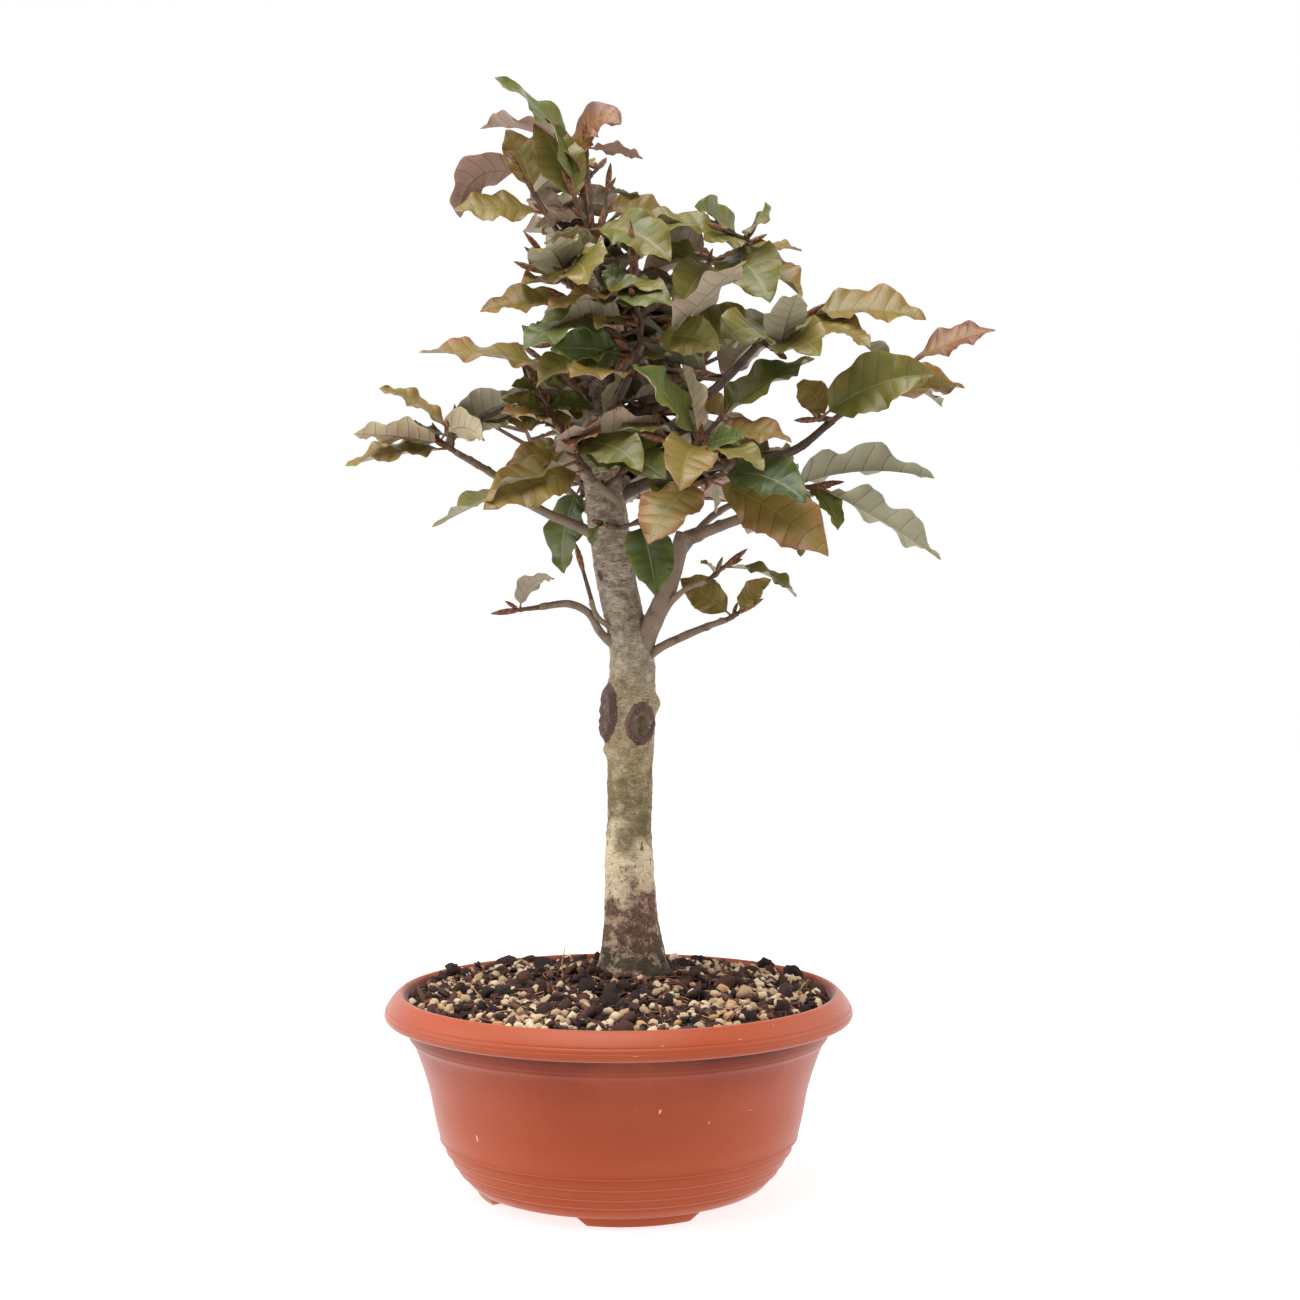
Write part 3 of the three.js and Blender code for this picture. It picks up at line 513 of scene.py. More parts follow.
def grown_shoots(heading, rise, count, seed):
    """Shoots on alternate sides of a stem."""
    draw = random_source(seed)
    shoots = []
    for i in range(count):
        side = 1 if i % 2 == 0 else -1
        place = SHOOT_PLACES[0] + (SHOOT_PLACES[1] * i) / max(count - 1, 1)
        shoot_heading = heading + side * dealt(draw, SHOOT_TURN)
        shoot_rise = rise * SHOOT_RISE_SHARE + SHOOT_LIFT * draw() - GROWN_DROP
        shoots.append((place, shoot_heading, shoot_rise, dealt(draw, SHOOT_LENGTH), SHOOT_LEAVES))
    return shoots


def in_crown(base, leaf):
    """Whether a grown leaf's tip stays in the crown's own space."""
    heading, rise, length, _, curl, _ = leaf
    tip = base + direction(heading, rise + curl / 2) * length
    heights = [row[0] for row in CROWN_REACH]
    if not heights[0] <= tip[2] <= heights[-1]:
        return False
    reach = np.interp(tip[2], heights, [row[1] for row in CROWN_REACH])
    axis_x = CROWN_AXIS_X + CROWN_LEAN * (tip[2] - CROWN_AXIS_Z)
    return abs(tip[0] - axis_x) <= reach and abs(tip[1]) <= CROWN_DEPTH


def make_twig(base, twig, leaves, seed):
    """A twig as its two ends, its radius and the leaves that it carries with their feet."""
    heading, rise, length, radius = twig
    along = direction(heading, rise)
    tip = base + along * length
    grown = isinstance(leaves, int)
    rows = grown_leaves(heading, rise, leaves, seed) if grown else leaves
    spacing = min(length / max(len(rows), 1), LEAF_SPACING)
    placed = []
    for i, leaf in enumerate(rows):
        foot = tip - along * (len(rows) - 1 - i) * spacing
        if not grown or in_crown(foot, leaf):
            placed.append((foot, leaf))
    return {"base": base, "tip": tip, "along": along, "radius": radius, "leaves": placed}


def mass_twigs(index, start, mass):
    """The stem of a mass and its shoots."""
    _, _, stem, stem_leaves, stem_shoots = mass
    heading, rise, length, _ = stem
    along = direction(heading, rise)
    grown = isinstance(stem_shoots, int)
    shoots = grown_shoots(heading, rise, stem_shoots, 1000 * index + 3) if grown else stem_shoots
    twigs = [make_twig(start, stem, stem_leaves, 1000 * index + 7)]
    for k, (place, shoot_heading, shoot_rise, shoot_length, leaves) in enumerate(shoots):
        base = start + along * place * length
        shoot = (shoot_heading, shoot_rise, shoot_length, SHOOT_RADIUS)
        twigs.append(make_twig(base, shoot, leaves, 1000 * index + 17 * k + 101))
    return twigs


def front_view(point):
    """Where a point shows from the front, on the upright plane through the bowl's axis."""
    toward = VIEW_DISTANCE / (VIEW_DISTANCE + point[1])
    return VIEW_X + (point[0] - VIEW_X) * toward, VIEW_Z + (point[2] - VIEW_Z) * toward


def leaf_point(foot, leaf, share):
    """The point at a share of a leaf's length, allowing for its curl."""
    heading, rise, length, _, curl, _ = leaf
    return foot + direction(heading, rise + curl * share / 2) * length * share


def shown_midribs(coarse):
    """Points along the midribs of the masses' own leaves, as they show from the front, a row to a leaf."""
    leaves = [leaf for twigs in coarse.values() for twig in twigs for leaf in twig["leaves"]]
    return np.array([[front_view(leaf_point(foot, leaf, share)) for share in MIDRIB_SHARES]
                     for foot, leaf in leaves])


def in_core(point, shown):
    """Whether enough of the masses' own leaves show close to a point, at a depth that they fill."""
    away = np.linalg.norm(shown - np.array(front_view(point)), axis=2).min(axis=1)
    return CORE_FRONT <= point[1] <= CORE_BACK and np.count_nonzero(away < CORE_NEAR) >= CORE_LEAVES


def finer_leaf_fits(foot, leaf, shown):
    """Whether a finer leaf is in the core, and behind the crown's face unless it hides the trunk."""
    middle = leaf_point(foot, leaf, LEAF_MIDDLE)
    low, high = TRUNK_HIDDEN
    near_trunk = abs(middle[0] - trunk_point(middle[2])[0]) < TRUNK_COVER and low < middle[2] < high
    placed = in_core(leaf_point(foot, leaf, 1), shown) and in_core(middle, shown)
    return placed and (middle[1] > FACE_Y or near_trunk)


def finer_starts(mass, twigs, path, draw):
    """Feet and headings of a mass's finer twigs: along its twigs, and on the limb that carries it."""
    starts = []
    for twig in twigs:
        heading = math.degrees(math.atan2(twig["along"][1], twig["along"][0]))
        for side in FINER_SIDES:
            foot = twig["base"] + (twig["tip"] - twig["base"]) * dealt(draw, FINER_ON_TWIG)
            starts.append((foot, heading + side * dealt(draw, FINER_TURN)))
    for _ in range(FINER_PER_LIMB):
        heading = 360 * draw()
        if mass[0] == "trunk":
            height = min(mass[1] + FINER_BELOW[0] + FINER_BELOW[1] * draw(), TRUNK[-1][2] - TRUNK_TIP_CLEAR)
            foot = trunk_point(height) + direction(heading, 0) * trunk_radius(height) * 0.8
        else:
            foot = path[int(dealt(draw, FINER_ON_LIMB) * (len(path) - 1))]
        starts.append((foot, heading))
    return starts


def finer_twigs(index, mass, twigs, path, shown):
    """Short twigs with a few leaves each, kept where they stay within the crown's core."""
    draw = random_source(FINER_SEED + index)
    found = []
    for k, (foot, heading) in enumerate(finer_starts(mass, twigs, path, draw)):
        shape = (heading, dealt(draw, FINER_RISE), dealt(draw, FINER_LENGTH), FINER_RADIUS)
        twig = make_twig(foot, shape, FINER_LEAVES, FINER_SEED + 100 * index + k)
        twig["leaves"] = [row for row in twig["leaves"] if finer_leaf_fits(*row, shown)]
        twig["fine"] = True
        if twig["leaves"] and in_core(twig["tip"], shown):
            found.append(twig)
    return found


def all_twigs():
    """Every mass's twigs, by the mass's name, carried on to finer twigs."""
    paths = limb_paths()
    coarse = {}
    for index, (name, mass) in enumerate(MASSES.items()):
        start = trunk_point(mass[1]) if mass[0] == "trunk" else paths[mass[0]][-1]
        coarse[name] = mass_twigs(index, start, mass)
    shown = shown_midribs(coarse)
    twigs = {}
    for index, (name, mass) in enumerate(MASSES.items()):
        twigs[name] = coarse[name] + finer_twigs(index, mass, coarse[name], paths.get(mass[0]), shown)
    return twigs


# ---- material nodes ----
# The part of the grain's height, from 0 to 1, that is stretched over a skin's roughness.
GRAIN_RANGE = (0.3, 0.7)


def feed(tree, socket, value):
    """Gives a socket a plain value, or links it to another socket."""
    if isinstance(value, bpy.types.NodeSocket):
        tree.links.new(value, socket)
    else:
        socket.default_value = value


def add_node(tree, kind, values, **settings):
    """Adds a node, with its settings, its plain values and its links."""
    node = tree.nodes.new(kind)
    for key, value in settings.items():
        setattr(node, key, value)
    for key, value in values.items():
        feed(tree, node.inputs[key], value)
    return node


def add_noise(tree, vector, scale, detail, rough=0.5):
    """Adds a noise and returns its value."""
    return add_node(tree, "ShaderNodeTexNoise", {
        "Vector": vector, "Scale": scale, "Detail": detail, "Roughness": rough}).outputs["Fac"]


def add_ramp(tree, factor, stops):
    """Adds a colour ramp from pairs of place and colour, and returns its colour."""
    ramp = tree.nodes.new("ShaderNodeValToRGB")
    tree.links.new(factor, ramp.inputs["Fac"])
    elements = ramp.color_ramp.elements
    while len(elements) < len(stops):
        elements.new(0.5)
    for element, (place, colour) in zip(elements, stops):
        element.position = place
        element.color = linear(colour)
    return ramp.outputs["Color"]


def add_mix(tree, factor, low, high):
    """Mixes two colours by a factor. The second is a plain one."""
    return add_node(tree, "ShaderNodeMix", {0: factor, 6: low, 7: linear(high)}, data_type="RGBA").outputs[2]


def add_math(tree, kind, first, second=0.0):
    """One plain operation on two values."""
    return add_node(tree, "ShaderNodeMath", {0: first, 1: second}, operation=kind).outputs[0]


def add_map(tree, factor, low, high, out_low=0.0, out_high=1.0):
    """Stretches a range of values over another, and holds it there."""
    node = add_node(tree, "ShaderNodeMapRange", {
        "Value": factor, "From Min": low, "From Max": high, "To Min": out_low, "To Max": out_high})
    return node.outputs["Result"]


def make_grain_group():
    """A fine and a coarse noise together, as a height from 0 to 1."""
    group = bpy.data.node_groups.new("Two-size grain", "ShaderNodeTree")
    for name, kind in (("Vector", "NodeSocketVector"), ("Coarse", "NodeSocketFloat"),
                       ("Fine", "NodeSocketFloat"), ("Share", "NodeSocketFloat")):
        group.interface.new_socket(name=name, in_out="INPUT", socket_type=kind)
    group.interface.new_socket(name="Height", in_out="OUTPUT", socket_type="NodeSocketFloat")
    enter = group.nodes.new("NodeGroupInput")
    leave = group.nodes.new("NodeGroupOutput")
    coarse = add_noise(group, enter.outputs["Vector"], enter.outputs["Coarse"], 3.0, 0.6)
    fine = add_noise(group, enter.outputs["Vector"], enter.outputs["Fine"], 4.0, 0.65)
    mix = add_node(group, "ShaderNodeMix", {0: enter.outputs["Share"], 2: coarse, 3: fine})
    group.links.new(mix.outputs[0], leave.inputs["Height"])
    return group


def add_grain(tree, vector, coarse, fine, share=0.5):
    """Places the grain group and returns its height."""
    group = bpy.data.node_groups.get("Two-size grain") or make_grain_group()
    node = tree.nodes.new("ShaderNodeGroup")
    node.node_tree = group
    tree.links.new(vector, node.inputs["Vector"])
    for key, value in (("Coarse", coarse), ("Fine", fine), ("Share", share)):
        node.inputs[key].default_value = value
    return node.outputs["Height"]


def new_material(name):
    """A fresh material: its node tree, its shader and the piece's own coordinates."""
    material = bpy.data.materials.new(name)
    material.use_nodes = True
    tree = material.node_tree
    shader = tree.nodes["Principled BSDF"]
    coords = tree.nodes.new("ShaderNodeTexCoord").outputs["Object"]
    return material, tree, shader, coords


def finish_skin(tree, shader, tone, grain, rough, height, strength, distance):
    """Feeds the shader its tone, a grain as roughness between two values, and a height as bump."""
    feed(tree, shader.inputs["Base Color"], tone)
    feed(tree, shader.inputs["Roughness"], add_map(tree, grain, *GRAIN_RANGE, *rough))
    bump = add_node(tree, "ShaderNodeBump", {"Height": height, "Strength": strength, "Distance": distance})
    tree.links.new(bump.outputs["Normal"], shader.inputs["Normal"])


def bowl_material(colour, pale):
    """Satin terracotta plastic: more orange below, darker up towards the rim as painted shade under its
    overhang, with a painted shadow line just under the lip; clouded, with dust and a few scratches.
    """
    material, tree, shader, coords = new_material("terracotta_plastic")
    height = add_node(tree, "ShaderNodeSeparateXYZ", {"Vector": coords}).outputs["Z"]
    up = add_map(tree, height, 0.0, 0.119)
    # Colour by height: the dark stops from 0.77 to 0.862 are painted shade under the rim's overhang, darkest
    # in a painted shadow line just below the lip.
    tone = add_ramp(tree, up, [(0.0, (184, 86, 46)), (0.3, (178, 76, 34)), (0.6, (162, 63, 26)),
                               (0.77, (132, 47, 20)), (0.82, (112, 38, 18)), (0.838, (60, 20, 11)),
                               (0.862, (44, 16, 10)), (0.872, (168, 74, 42)), (1.0, (182, 86, 52))])
    tone = add_mix(tree, 0.2, tone, colour)
    cloud = add_noise(tree, coords, 16.0, 4.0)
    tone = add_mix(tree, add_map(tree, cloud, 0.42, 0.75, 0.0, 0.4), tone, pale)
    dust = add_noise(tree, coords, 900.0, 2.0)
    tone = add_mix(tree, add_map(tree, dust, 0.7, 0.78, 0.0, 0.35), tone, (214, 150, 124))
    for scale, low in (((330.0, 330.0, 52.0), 0.775), ((52.0, 52.0, 640.0), 0.795)):
        place = add_node(tree, "ShaderNodeMapping", {"Vector": coords, "Scale": scale})
        marks = add_noise(tree, place.outputs["Vector"], 1.0, 1.0)
        tone = add_mix(tree, add_map(tree, marks, low, low + 0.03), tone, (230, 176, 150))
    grain = add_grain(tree, coords, 260.0, 1400.0)
    finish_skin(tree, shader, tone, grain, (0.4, 0.52), grain, 0.12, 0.0006)
    shader.inputs["Specular IOR Level"].default_value = 0.28
    shader.inputs["Sheen Weight"].default_value = 0.48
    shader.inputs["Sheen Roughness"].default_value = 0.35
    return material


def plain_material(name, colour, rough, coarse, fine, strength, distance):
    """A plain colour with its own grain in bump and roughness, for small things that are joined."""
    material, tree, shader, coords = new_material(name)
    grain = add_grain(tree, coords, coarse, fine)
    finish_skin(tree, shader, linear(colour), grain, (rough - 0.1, rough + 0.1), grain, strength, distance)
    return material


def soil_material(colour):
    """Damp dark peat with paler and redder bits."""
    material, tree, shader, coords = new_material("damp_peat")
    grain = add_grain(tree, coords, 120.0, 900.0, 0.6)
    tone = add_ramp(tree, grain, [
        (0.3, (22, 15, 11)), (0.5, colour), (0.66, (84, 54, 38)), (0.8, (116, 78, 52))])
    finish_skin(tree, shader, tone, grain, (0.7, 0.95), grain, 0.8, 0.0025)
    return material


def band_mask(tree, height, low, high, soft):
    """1 between two heights, and 0 a soft edge beyond them."""
    rise = add_map(tree, height, low - soft, low)
    fall = add_map(tree, height, high, high + soft, 1.0, 0.0)
    return add_math(tree, "MULTIPLY", rise, fall)


def stretched_noise(tree, coords, stretch, scale, detail):
    """Noise whose lumps are drawn out along or across the trunk."""
    place = add_node(tree, "ShaderNodeMapping", {"Vector": coords, "Scale": stretch})
    return add_noise(tree, place.outputs["Vector"], scale, detail, 0.65)


def thin_lines(tree, level, width, strength):
    """Thin lines where a noise passes its middle."""
    distance = add_math(tree, "ABSOLUTE", add_math(tree, "SUBTRACT", level, 0.5))
    return add_map(tree, distance, 0.0, width, strength, 0.0)


def trunk_material(silver):
    """Grey-silver bark, olive algae on the middle of the trunk, a cream patch, a brown rough foot, and
    painted shade of the crown high on the trunk.
    """
    material, tree, shader, coords = new_material("beech_trunk_bark")
    height = add_node(tree, "ShaderNodeSeparateXYZ", {"Vector": coords}).outputs["Z"]
    wander = add_noise(tree, coords, 60.0, 5.0)
    shift = add_map(tree, wander, 0.3, 0.7, -0.016, 0.016)
    shifted = add_math(tree, "ADD", height, shift)
    share = add_map(tree, shifted, 0.128, 0.56)
    # The darker stops around 0.85 of the way up are painted shade, where the crown shades the trunk.
    tone = add_ramp(tree, share, [
        (0.0, (44, 31, 24)), (0.02, (96, 82, 54)), (0.045, (122, 84, 70)), (0.09, (142, 98, 84)),
        (0.115, (236, 212, 172)), (0.175, (232, 214, 172)), (0.2, (132, 113, 75)), (0.25, (136, 118, 78)),
        (0.3, (168, 146, 106)), (0.38, (164, 146, 112)), (0.46, silver), (0.66, (150, 130, 108)),
        (0.85, (120, 94, 78)), (0.93, (134, 122, 80)), (1.0, (130, 120, 76))])
    patches = add_noise(tree, coords, 120.0, 6.0, 0.75)
    tone = add_mix(tree, add_map(tree, patches, 0.5, 0.62, 0.0, 0.65), tone, (208, 190, 160))
    tone = add_mix(tree, add_map(tree, patches, 0.47, 0.38, 0.0, 0.6), tone, (98, 90, 56))
    silver_streaks = stretched_noise(tree, coords, (1.0, 1.0, 2.6), 130.0, 4.0)
    above = add_map(tree, height, 0.3, 0.36)
    pale = add_math(tree, "MULTIPLY", above, add_map(tree, silver_streaks, 0.48, 0.6, 0.0, 0.55))
    tone = add_mix(tree, pale, tone, (204, 194, 182))
    cracks = stretched_noise(tree, coords, (1.0, 1.0, 3.2), 150.0, 5.0)
    tone = add_mix(tree, thin_lines(tree, cracks, 0.026, 0.85), tone, (62, 50, 38))
    foot_cracks = stretched_noise(tree, coords, (1.0, 1.0, 0.8), 210.0, 5.0)
    foot = band_mask(tree, shifted, 0.12, 0.178, 0.02)
    tone = add_mix(tree, add_math(tree, "MULTIPLY", foot, thin_lines(tree, foot_cracks, 0.05, 0.85)), tone,
                   (58, 38, 32))
    bare = add_math(tree, "MULTIPLY", foot, add_map(tree, patches, 0.52, 0.6, 0.0, 0.8))
    tone = add_mix(tree, bare, tone, (186, 160, 130))
    fleck_noise = stretched_noise(tree, coords, (1.0, 1.0, 0.5), 330.0, 2.0)
    cream = band_mask(tree, shifted, 0.178, 0.2, 0.01)
    tone = add_mix(tree, add_math(tree, "MULTIPLY", cream, 0.5), tone, (236, 212, 176))
    fleck = add_math(tree, "MULTIPLY", cream, add_map(tree, fleck_noise, 0.6, 0.66, 0.0, 0.9))
    tone = add_mix(tree, fleck, tone, (96, 62, 46))
    pores = stretched_noise(tree, coords, (0.6, 0.6, 1.6), 260.0, 1.0)
    tone = add_mix(tree, add_map(tree, pores, 0.7, 0.75, 0.0, 0.8), tone, (112, 68, 48))
    grain = add_grain(tree, coords, 330.0, 1300.0)
    ridge = add_math(tree, "ADD", grain, add_math(tree, "MULTIPLY", cracks, 1.2))
    ridge = add_math(tree, "ADD", ridge, add_math(tree, "MULTIPLY", foot, foot_cracks))
    finish_skin(tree, shader, tone, grain, (0.6, 0.85), ridge, 0.8, 0.0016)
    return material


def bark_material(name, light, dark, stain):
    """Thin bark of a bough or twig, with cross marks and stains."""
    material, tree, shader, coords = new_material(name)
    patches = add_noise(tree, coords, 110.0, 4.0, 0.65)
    tone = add_ramp(tree, patches, [(0.3, dark), (0.5, light), (0.62, light), (0.75, stain)])
    specks = add_node(tree, "ShaderNodeTexVoronoi", {"Vector": coords, "Scale": 420.0})
    fleck = add_map(tree, specks.outputs["Distance"], 0.12, 0.24, 0.5, 0.0)
    tone = add_mix(tree, fleck, tone, (150, 134, 112))
    grain = add_grain(tree, coords, 420.0, 1500.0)
    finish_skin(tree, shader, tone, grain, (0.45, 0.7), grain, 0.4, 0.0006)
    return material


def leaf_material(name, colour, rough):
    """A leaf's skin in one plain colour, with its fine net of veins in bump and its gloss uneven."""
    material, tree, shader, coords = new_material(name)
    shader.inputs["Specular IOR Level"].default_value = 0.5
    net = add_node(tree, "ShaderNodeTexVoronoi", {"Vector": coords, "Scale": 700.0},
                   feature="DISTANCE_TO_EDGE")
    grain = add_grain(tree, coords, 300.0, 1600.0)
    height = add_math(tree, "ADD", grain, add_map(tree, net.outputs["Distance"], 0.0, 0.25, 0.0, 0.7))
    finish_skin(tree, shader, linear(colour), grain, (rough - 0.08, rough + 0.1), height, 0.25, 0.0005)
    return material


def shade_row(keys):
    """All plain shades between the keys of a colour range."""
    places = np.linspace(0, len(keys) - 1, (len(keys) - 1) * SHADES_PER_KEY + 1)
    table = np.array(keys, float)
    return [tuple(np.interp(p, range(len(keys)), table[:, k]) for k in range(3)) for p in places]


# ---- sizes and colours that a user may change ----
def millimetres(name, description, default):
    """A length, held in metres and shown in the scene's own unit."""
    return bpy.props.FloatProperty(
        name=name, description=description, default=default * MM, unit="LENGTH", precision=5)


def shade(name, description, default):
    """A colour."""
    return bpy.props.FloatVectorProperty(
        name=name, description=description, default=tuple(channel / 255 for channel in default),
        subtype="COLOR_GAMMA", min=0, max=1, size=3)


def how_many(name, description, default):
    """A number of like things."""
    return bpy.props.IntProperty(name=name, description=description, default=default, min=0)


class BeechBowlSettings(bpy.types.PropertyGroup):
    """Sizes and colours of the plastic bowl."""

    plastic: shade("Plastic", "Main colour of the bowl", (170, 68, 32))
    worn: shade("Worn plastic", "Colour of its faded patches", (184, 90, 56))
    groove: millimetres("Groove", "Depth of the fine grooves round the rim", 0.35)
    sides: bpy.props.IntProperty(
        name="Sides", description="Number of flats round the bowl", default=160, min=48)


class BeechSoilSettings(bpy.types.PropertyGroup):
    """What fills the bowl."""

    peat: shade("Peat", "Colour of the damp peat", (50, 32, 25))
    grit: how_many("Grit", "Number of cream stones", 900)
    crumbs: how_many("Crumbs", "Number of peat crumbs", 2400)
    clumps: how_many("Clumps", "Number of big clumps of peat and bark", 150)
    chips: how_many("Chips", "Number of bark chips", 620)
    fibres: how_many("Fibres", "Number of loose root fibres", 560)
    relief: millimetres("Relief", "How far the bed of peat rises and falls", 3.2)


class BeechPlantSettings(bpy.types.PropertyGroup):
    """The tree itself."""

    silver: shade("Bark", "Grey-silver colour of the upper trunk", (156, 138, 118))
    relief: millimetres("Bark relief", "How far the bark of the trunk rises and falls", 0.9)
    leaf_wave: millimetres("Leaf wave", "How far the margin of a leaf waves up and down", 2.7)
    leaf_pleat: millimetres("Leaf pleat", "Depth of the pleats between the veins of a leaf", 0.7)
    leaf_thickness: millimetres("Leaf thickness", "Thickness of a leaf's blade", 0.55)


def settings(kind):
    """The settings of one part of the scene, as kept by Blender."""
    return getattr(bpy.context.scene, "beech_" + kind)


def colour_of(value):
    """A colour setting as three values from 0 to 255."""
    return tuple(channel * 255 for channel in value)


# ---- bowl ----
WALL = 3
BASE_Z = 5.6
FLOOR_Z = 9.6
BOWL_WALL = [(88.5, 5.6), (92.8, 10.6), (99.6, 20.3), (107.2, 34.6), (113.7, 63.5), (118.2, 78), (123, 90),
             (125.4, 93), (127.2, 102.5)]
RING_STEPS = [13, 18.5, 25, 32]
RING_DEPTH = 1.15
# Places round a ring step or groove, from its middle, where the wall needs a row of its own.
STEP_OFFSETS = [-1.6, -0.7, -0.25, 0.25, 0.7, 1.6]
# The rim's outline from under its overhang, round its lip and over the slope to the inner edge.
RIM_LIP = [
    (128.4, 102.7), (133, 102.9), (137.2, 103.2), (139.2, 104.2), (139.9, 106.2), (139.5, 108.6),
    (138.2, 111.2), (136.3, 113.9), (134.2, 116.3), (132.2, 118.2), (130.8, 118.9), (129.6, 118.6),
    (128.8, 117.2), (128.2, 113.5),
]
# Fine grooves on the rim, as shares of the way along its outline.
RIM_GROOVES = [0.42, 0.5, 0.74]
# Heights of the fine lines round the wall.
LINE_BAND = [93.6]
# Inside of the bowl: where the rim's inner edge ends, as radius and height, and heights down the wall.
INNER_EDGE = (127.2, 110)
INNER_HEIGHTS = (103, 96, 88, 72, 56, 40, 26, 14)
FOOT_COUNT = 4
FOOT_TURN = -81
FOOT_INNER = 66
FOOT_TOP_OUTER = 87
FOOT_TOP_HALF_ANGLE = 25
FOOT_BOTTOM_SHARE = 0.8
PAD_RADIUS = 16
# Top of the feet and the pad, a little inside the bowl's floor.
FOOT_TOP = BASE_Z + 0.9


def wall_radius(z):
    """Radius of the bowl's outer wall at a height, as one smooth curve."""
    corners = np.array([(r, 0.0, h) for r, h in BOWL_WALL])
    fine = smooth_path(corners, 240)
    return np.interp(z, fine[:, 2], fine[:, 0])


def outer_profile(groove):
    """The outside of the bowl from the base up to the rim's lower edge."""
    heights = set(np.round(np.linspace(BASE_Z + 1.5, BOWL_WALL[-1][1], 34), 2)) | {90.0, 91.0, 92.0, 93.0}
    for centre in RING_STEPS + LINE_BAND:
        heights = {h for h in heights if abs(h - centre) > 1.9} | {centre + off for off in STEP_OFFSETS}
    profile = [(wall_radius(BASE_Z) - 1.2, BASE_Z), (wall_radius(BASE_Z) - 0.2, BASE_Z + 0.4)]
    for z in sorted(heights):
        radius = float(wall_radius(z))
        for centre in RING_STEPS:
            near = math.exp(-((z - centre) / 1.5) ** 2)
            radius += RING_DEPTH * math.tanh((z - centre) / 0.3) * near
        for centre in LINE_BAND:
            radius -= groove * math.exp(-((z - centre) / 0.4) ** 2)
        profile.append((radius, z))
    return profile


def rim_profile(groove):
    """The rounded rim from its lower outer edge, over the top and down inside, with its fine grooves."""
    corners = np.array([(r, 0.0, z) for r, z in RIM_LIP])
    path = smooth_path(corners, 61)
    across = unit(np.gradient(path, axis=0))
    share = np.linspace(0, 1, len(path))
    depth = sum(groove * np.exp(-((share - place) / 0.008) ** 2) for place in RIM_GROOVES)
    return [(r - d * t[2], z + d * t[0]) for (r, _, z), t, d in zip(path, across, depth)]


def inner_profile():
    """The inside of the bowl down to the floor."""
    return [INNER_EDGE] + [(float(wall_radius(z)) - WALL, z) for z in (*INNER_HEIGHTS, FLOOR_Z)]


def start_piece(name):
    """Names the active object and its mesh."""
    piece = bpy.context.active_object
    piece.name = name
    piece.data.name = name
    return piece


def lathe_by_rings(name, profile, sides):
    """Draws a ring of edges up or down and in or out, one step at a time, and closes both ends."""
    bpy.ops.object.select_all(action="DESELECT")
    radius, height = profile[0]
    bpy.ops.mesh.primitive_circle_add(vertices=sides, radius=radius * MM, location=(0, 0, 0))
    piece = start_piece(name)
    bpy.ops.object.mode_set(mode="EDIT")
    bpy.ops.mesh.select_all(action="SELECT")
    bpy.ops.transform.translate(value=(0, 0, height * MM))
    bpy.ops.mesh.edge_face_add()
    bpy.ops.mesh.select_mode(type="EDGE")
    for next_radius, next_height in profile[1:]:
        bpy.ops.mesh.extrude_edges_move(
            TRANSFORM_OT_translate={"value": (0, 0, (next_height - height) * MM)})
        share = next_radius / radius
        bpy.ops.transform.resize(value=(share, share, 1), center_override=(0, 0, next_height * MM))
        radius, height = next_radius, next_height
    bpy.ops.mesh.edge_face_add()
    bpy.ops.mesh.select_all(action="SELECT")
    bpy.ops.mesh.normals_make_consistent(inside=False)
    bpy.ops.object.mode_set(mode="OBJECT")
    bpy.ops.object.shade_smooth_by_angle(angle=math.radians(35))
    return piece


def make_foot(turn):
    """One foot: an upright plane spun part of the way round the bowl's axis, and drawn in below."""
    start = math.radians(turn + FOOT_TOP_HALF_ANGLE)
    middle = (FOOT_INNER + FOOT_TOP_OUTER) / 2 * MM
    bpy.ops.object.select_all(action="DESELECT")
    bpy.ops.mesh.primitive_plane_add(
        size=1, location=(middle * math.cos(start), middle * math.sin(start), FOOT_TOP / 2 * MM),
        rotation=(math.radians(90), 0, start))
    foot = start_piece("foot")
    foot.scale = ((FOOT_TOP_OUTER - FOOT_INNER) * MM, FOOT_TOP * MM, 1)
    bpy.ops.object.transform_apply(location=True, rotation=True, scale=True)
    bpy.ops.object.mode_set(mode="EDIT")
    bpy.ops.mesh.select_all(action="SELECT")
    bpy.ops.mesh.spin(steps=16, angle=2 * math.radians(FOOT_TOP_HALF_ANGLE), center=(0, 0, 0), axis=(0, 0, 1))
    bpy.ops.mesh.select_all(action="SELECT")
    bpy.ops.mesh.remove_doubles(threshold=0.00001)
    bpy.ops.mesh.normals_make_consistent(inside=False)
    bpy.ops.mesh.select_all(action="DESELECT")
    bpy.ops.object.mode_set(mode="OBJECT")
    for vertex in foot.data.vertices:
        vertex.select = vertex.co.z < MM
    bpy.ops.object.mode_set(mode="EDIT")
    bpy.ops.mesh.select_mode(type="VERT")
    centre = direction(turn, 0) * (middle - MM)
    bpy.ops.transform.resize(
        value=(FOOT_BOTTOM_SHARE, FOOT_BOTTOM_SHARE, 1), center_override=(centre[0], centre[1], 0))
    bpy.ops.object.mode_set(mode="OBJECT")
    return foot


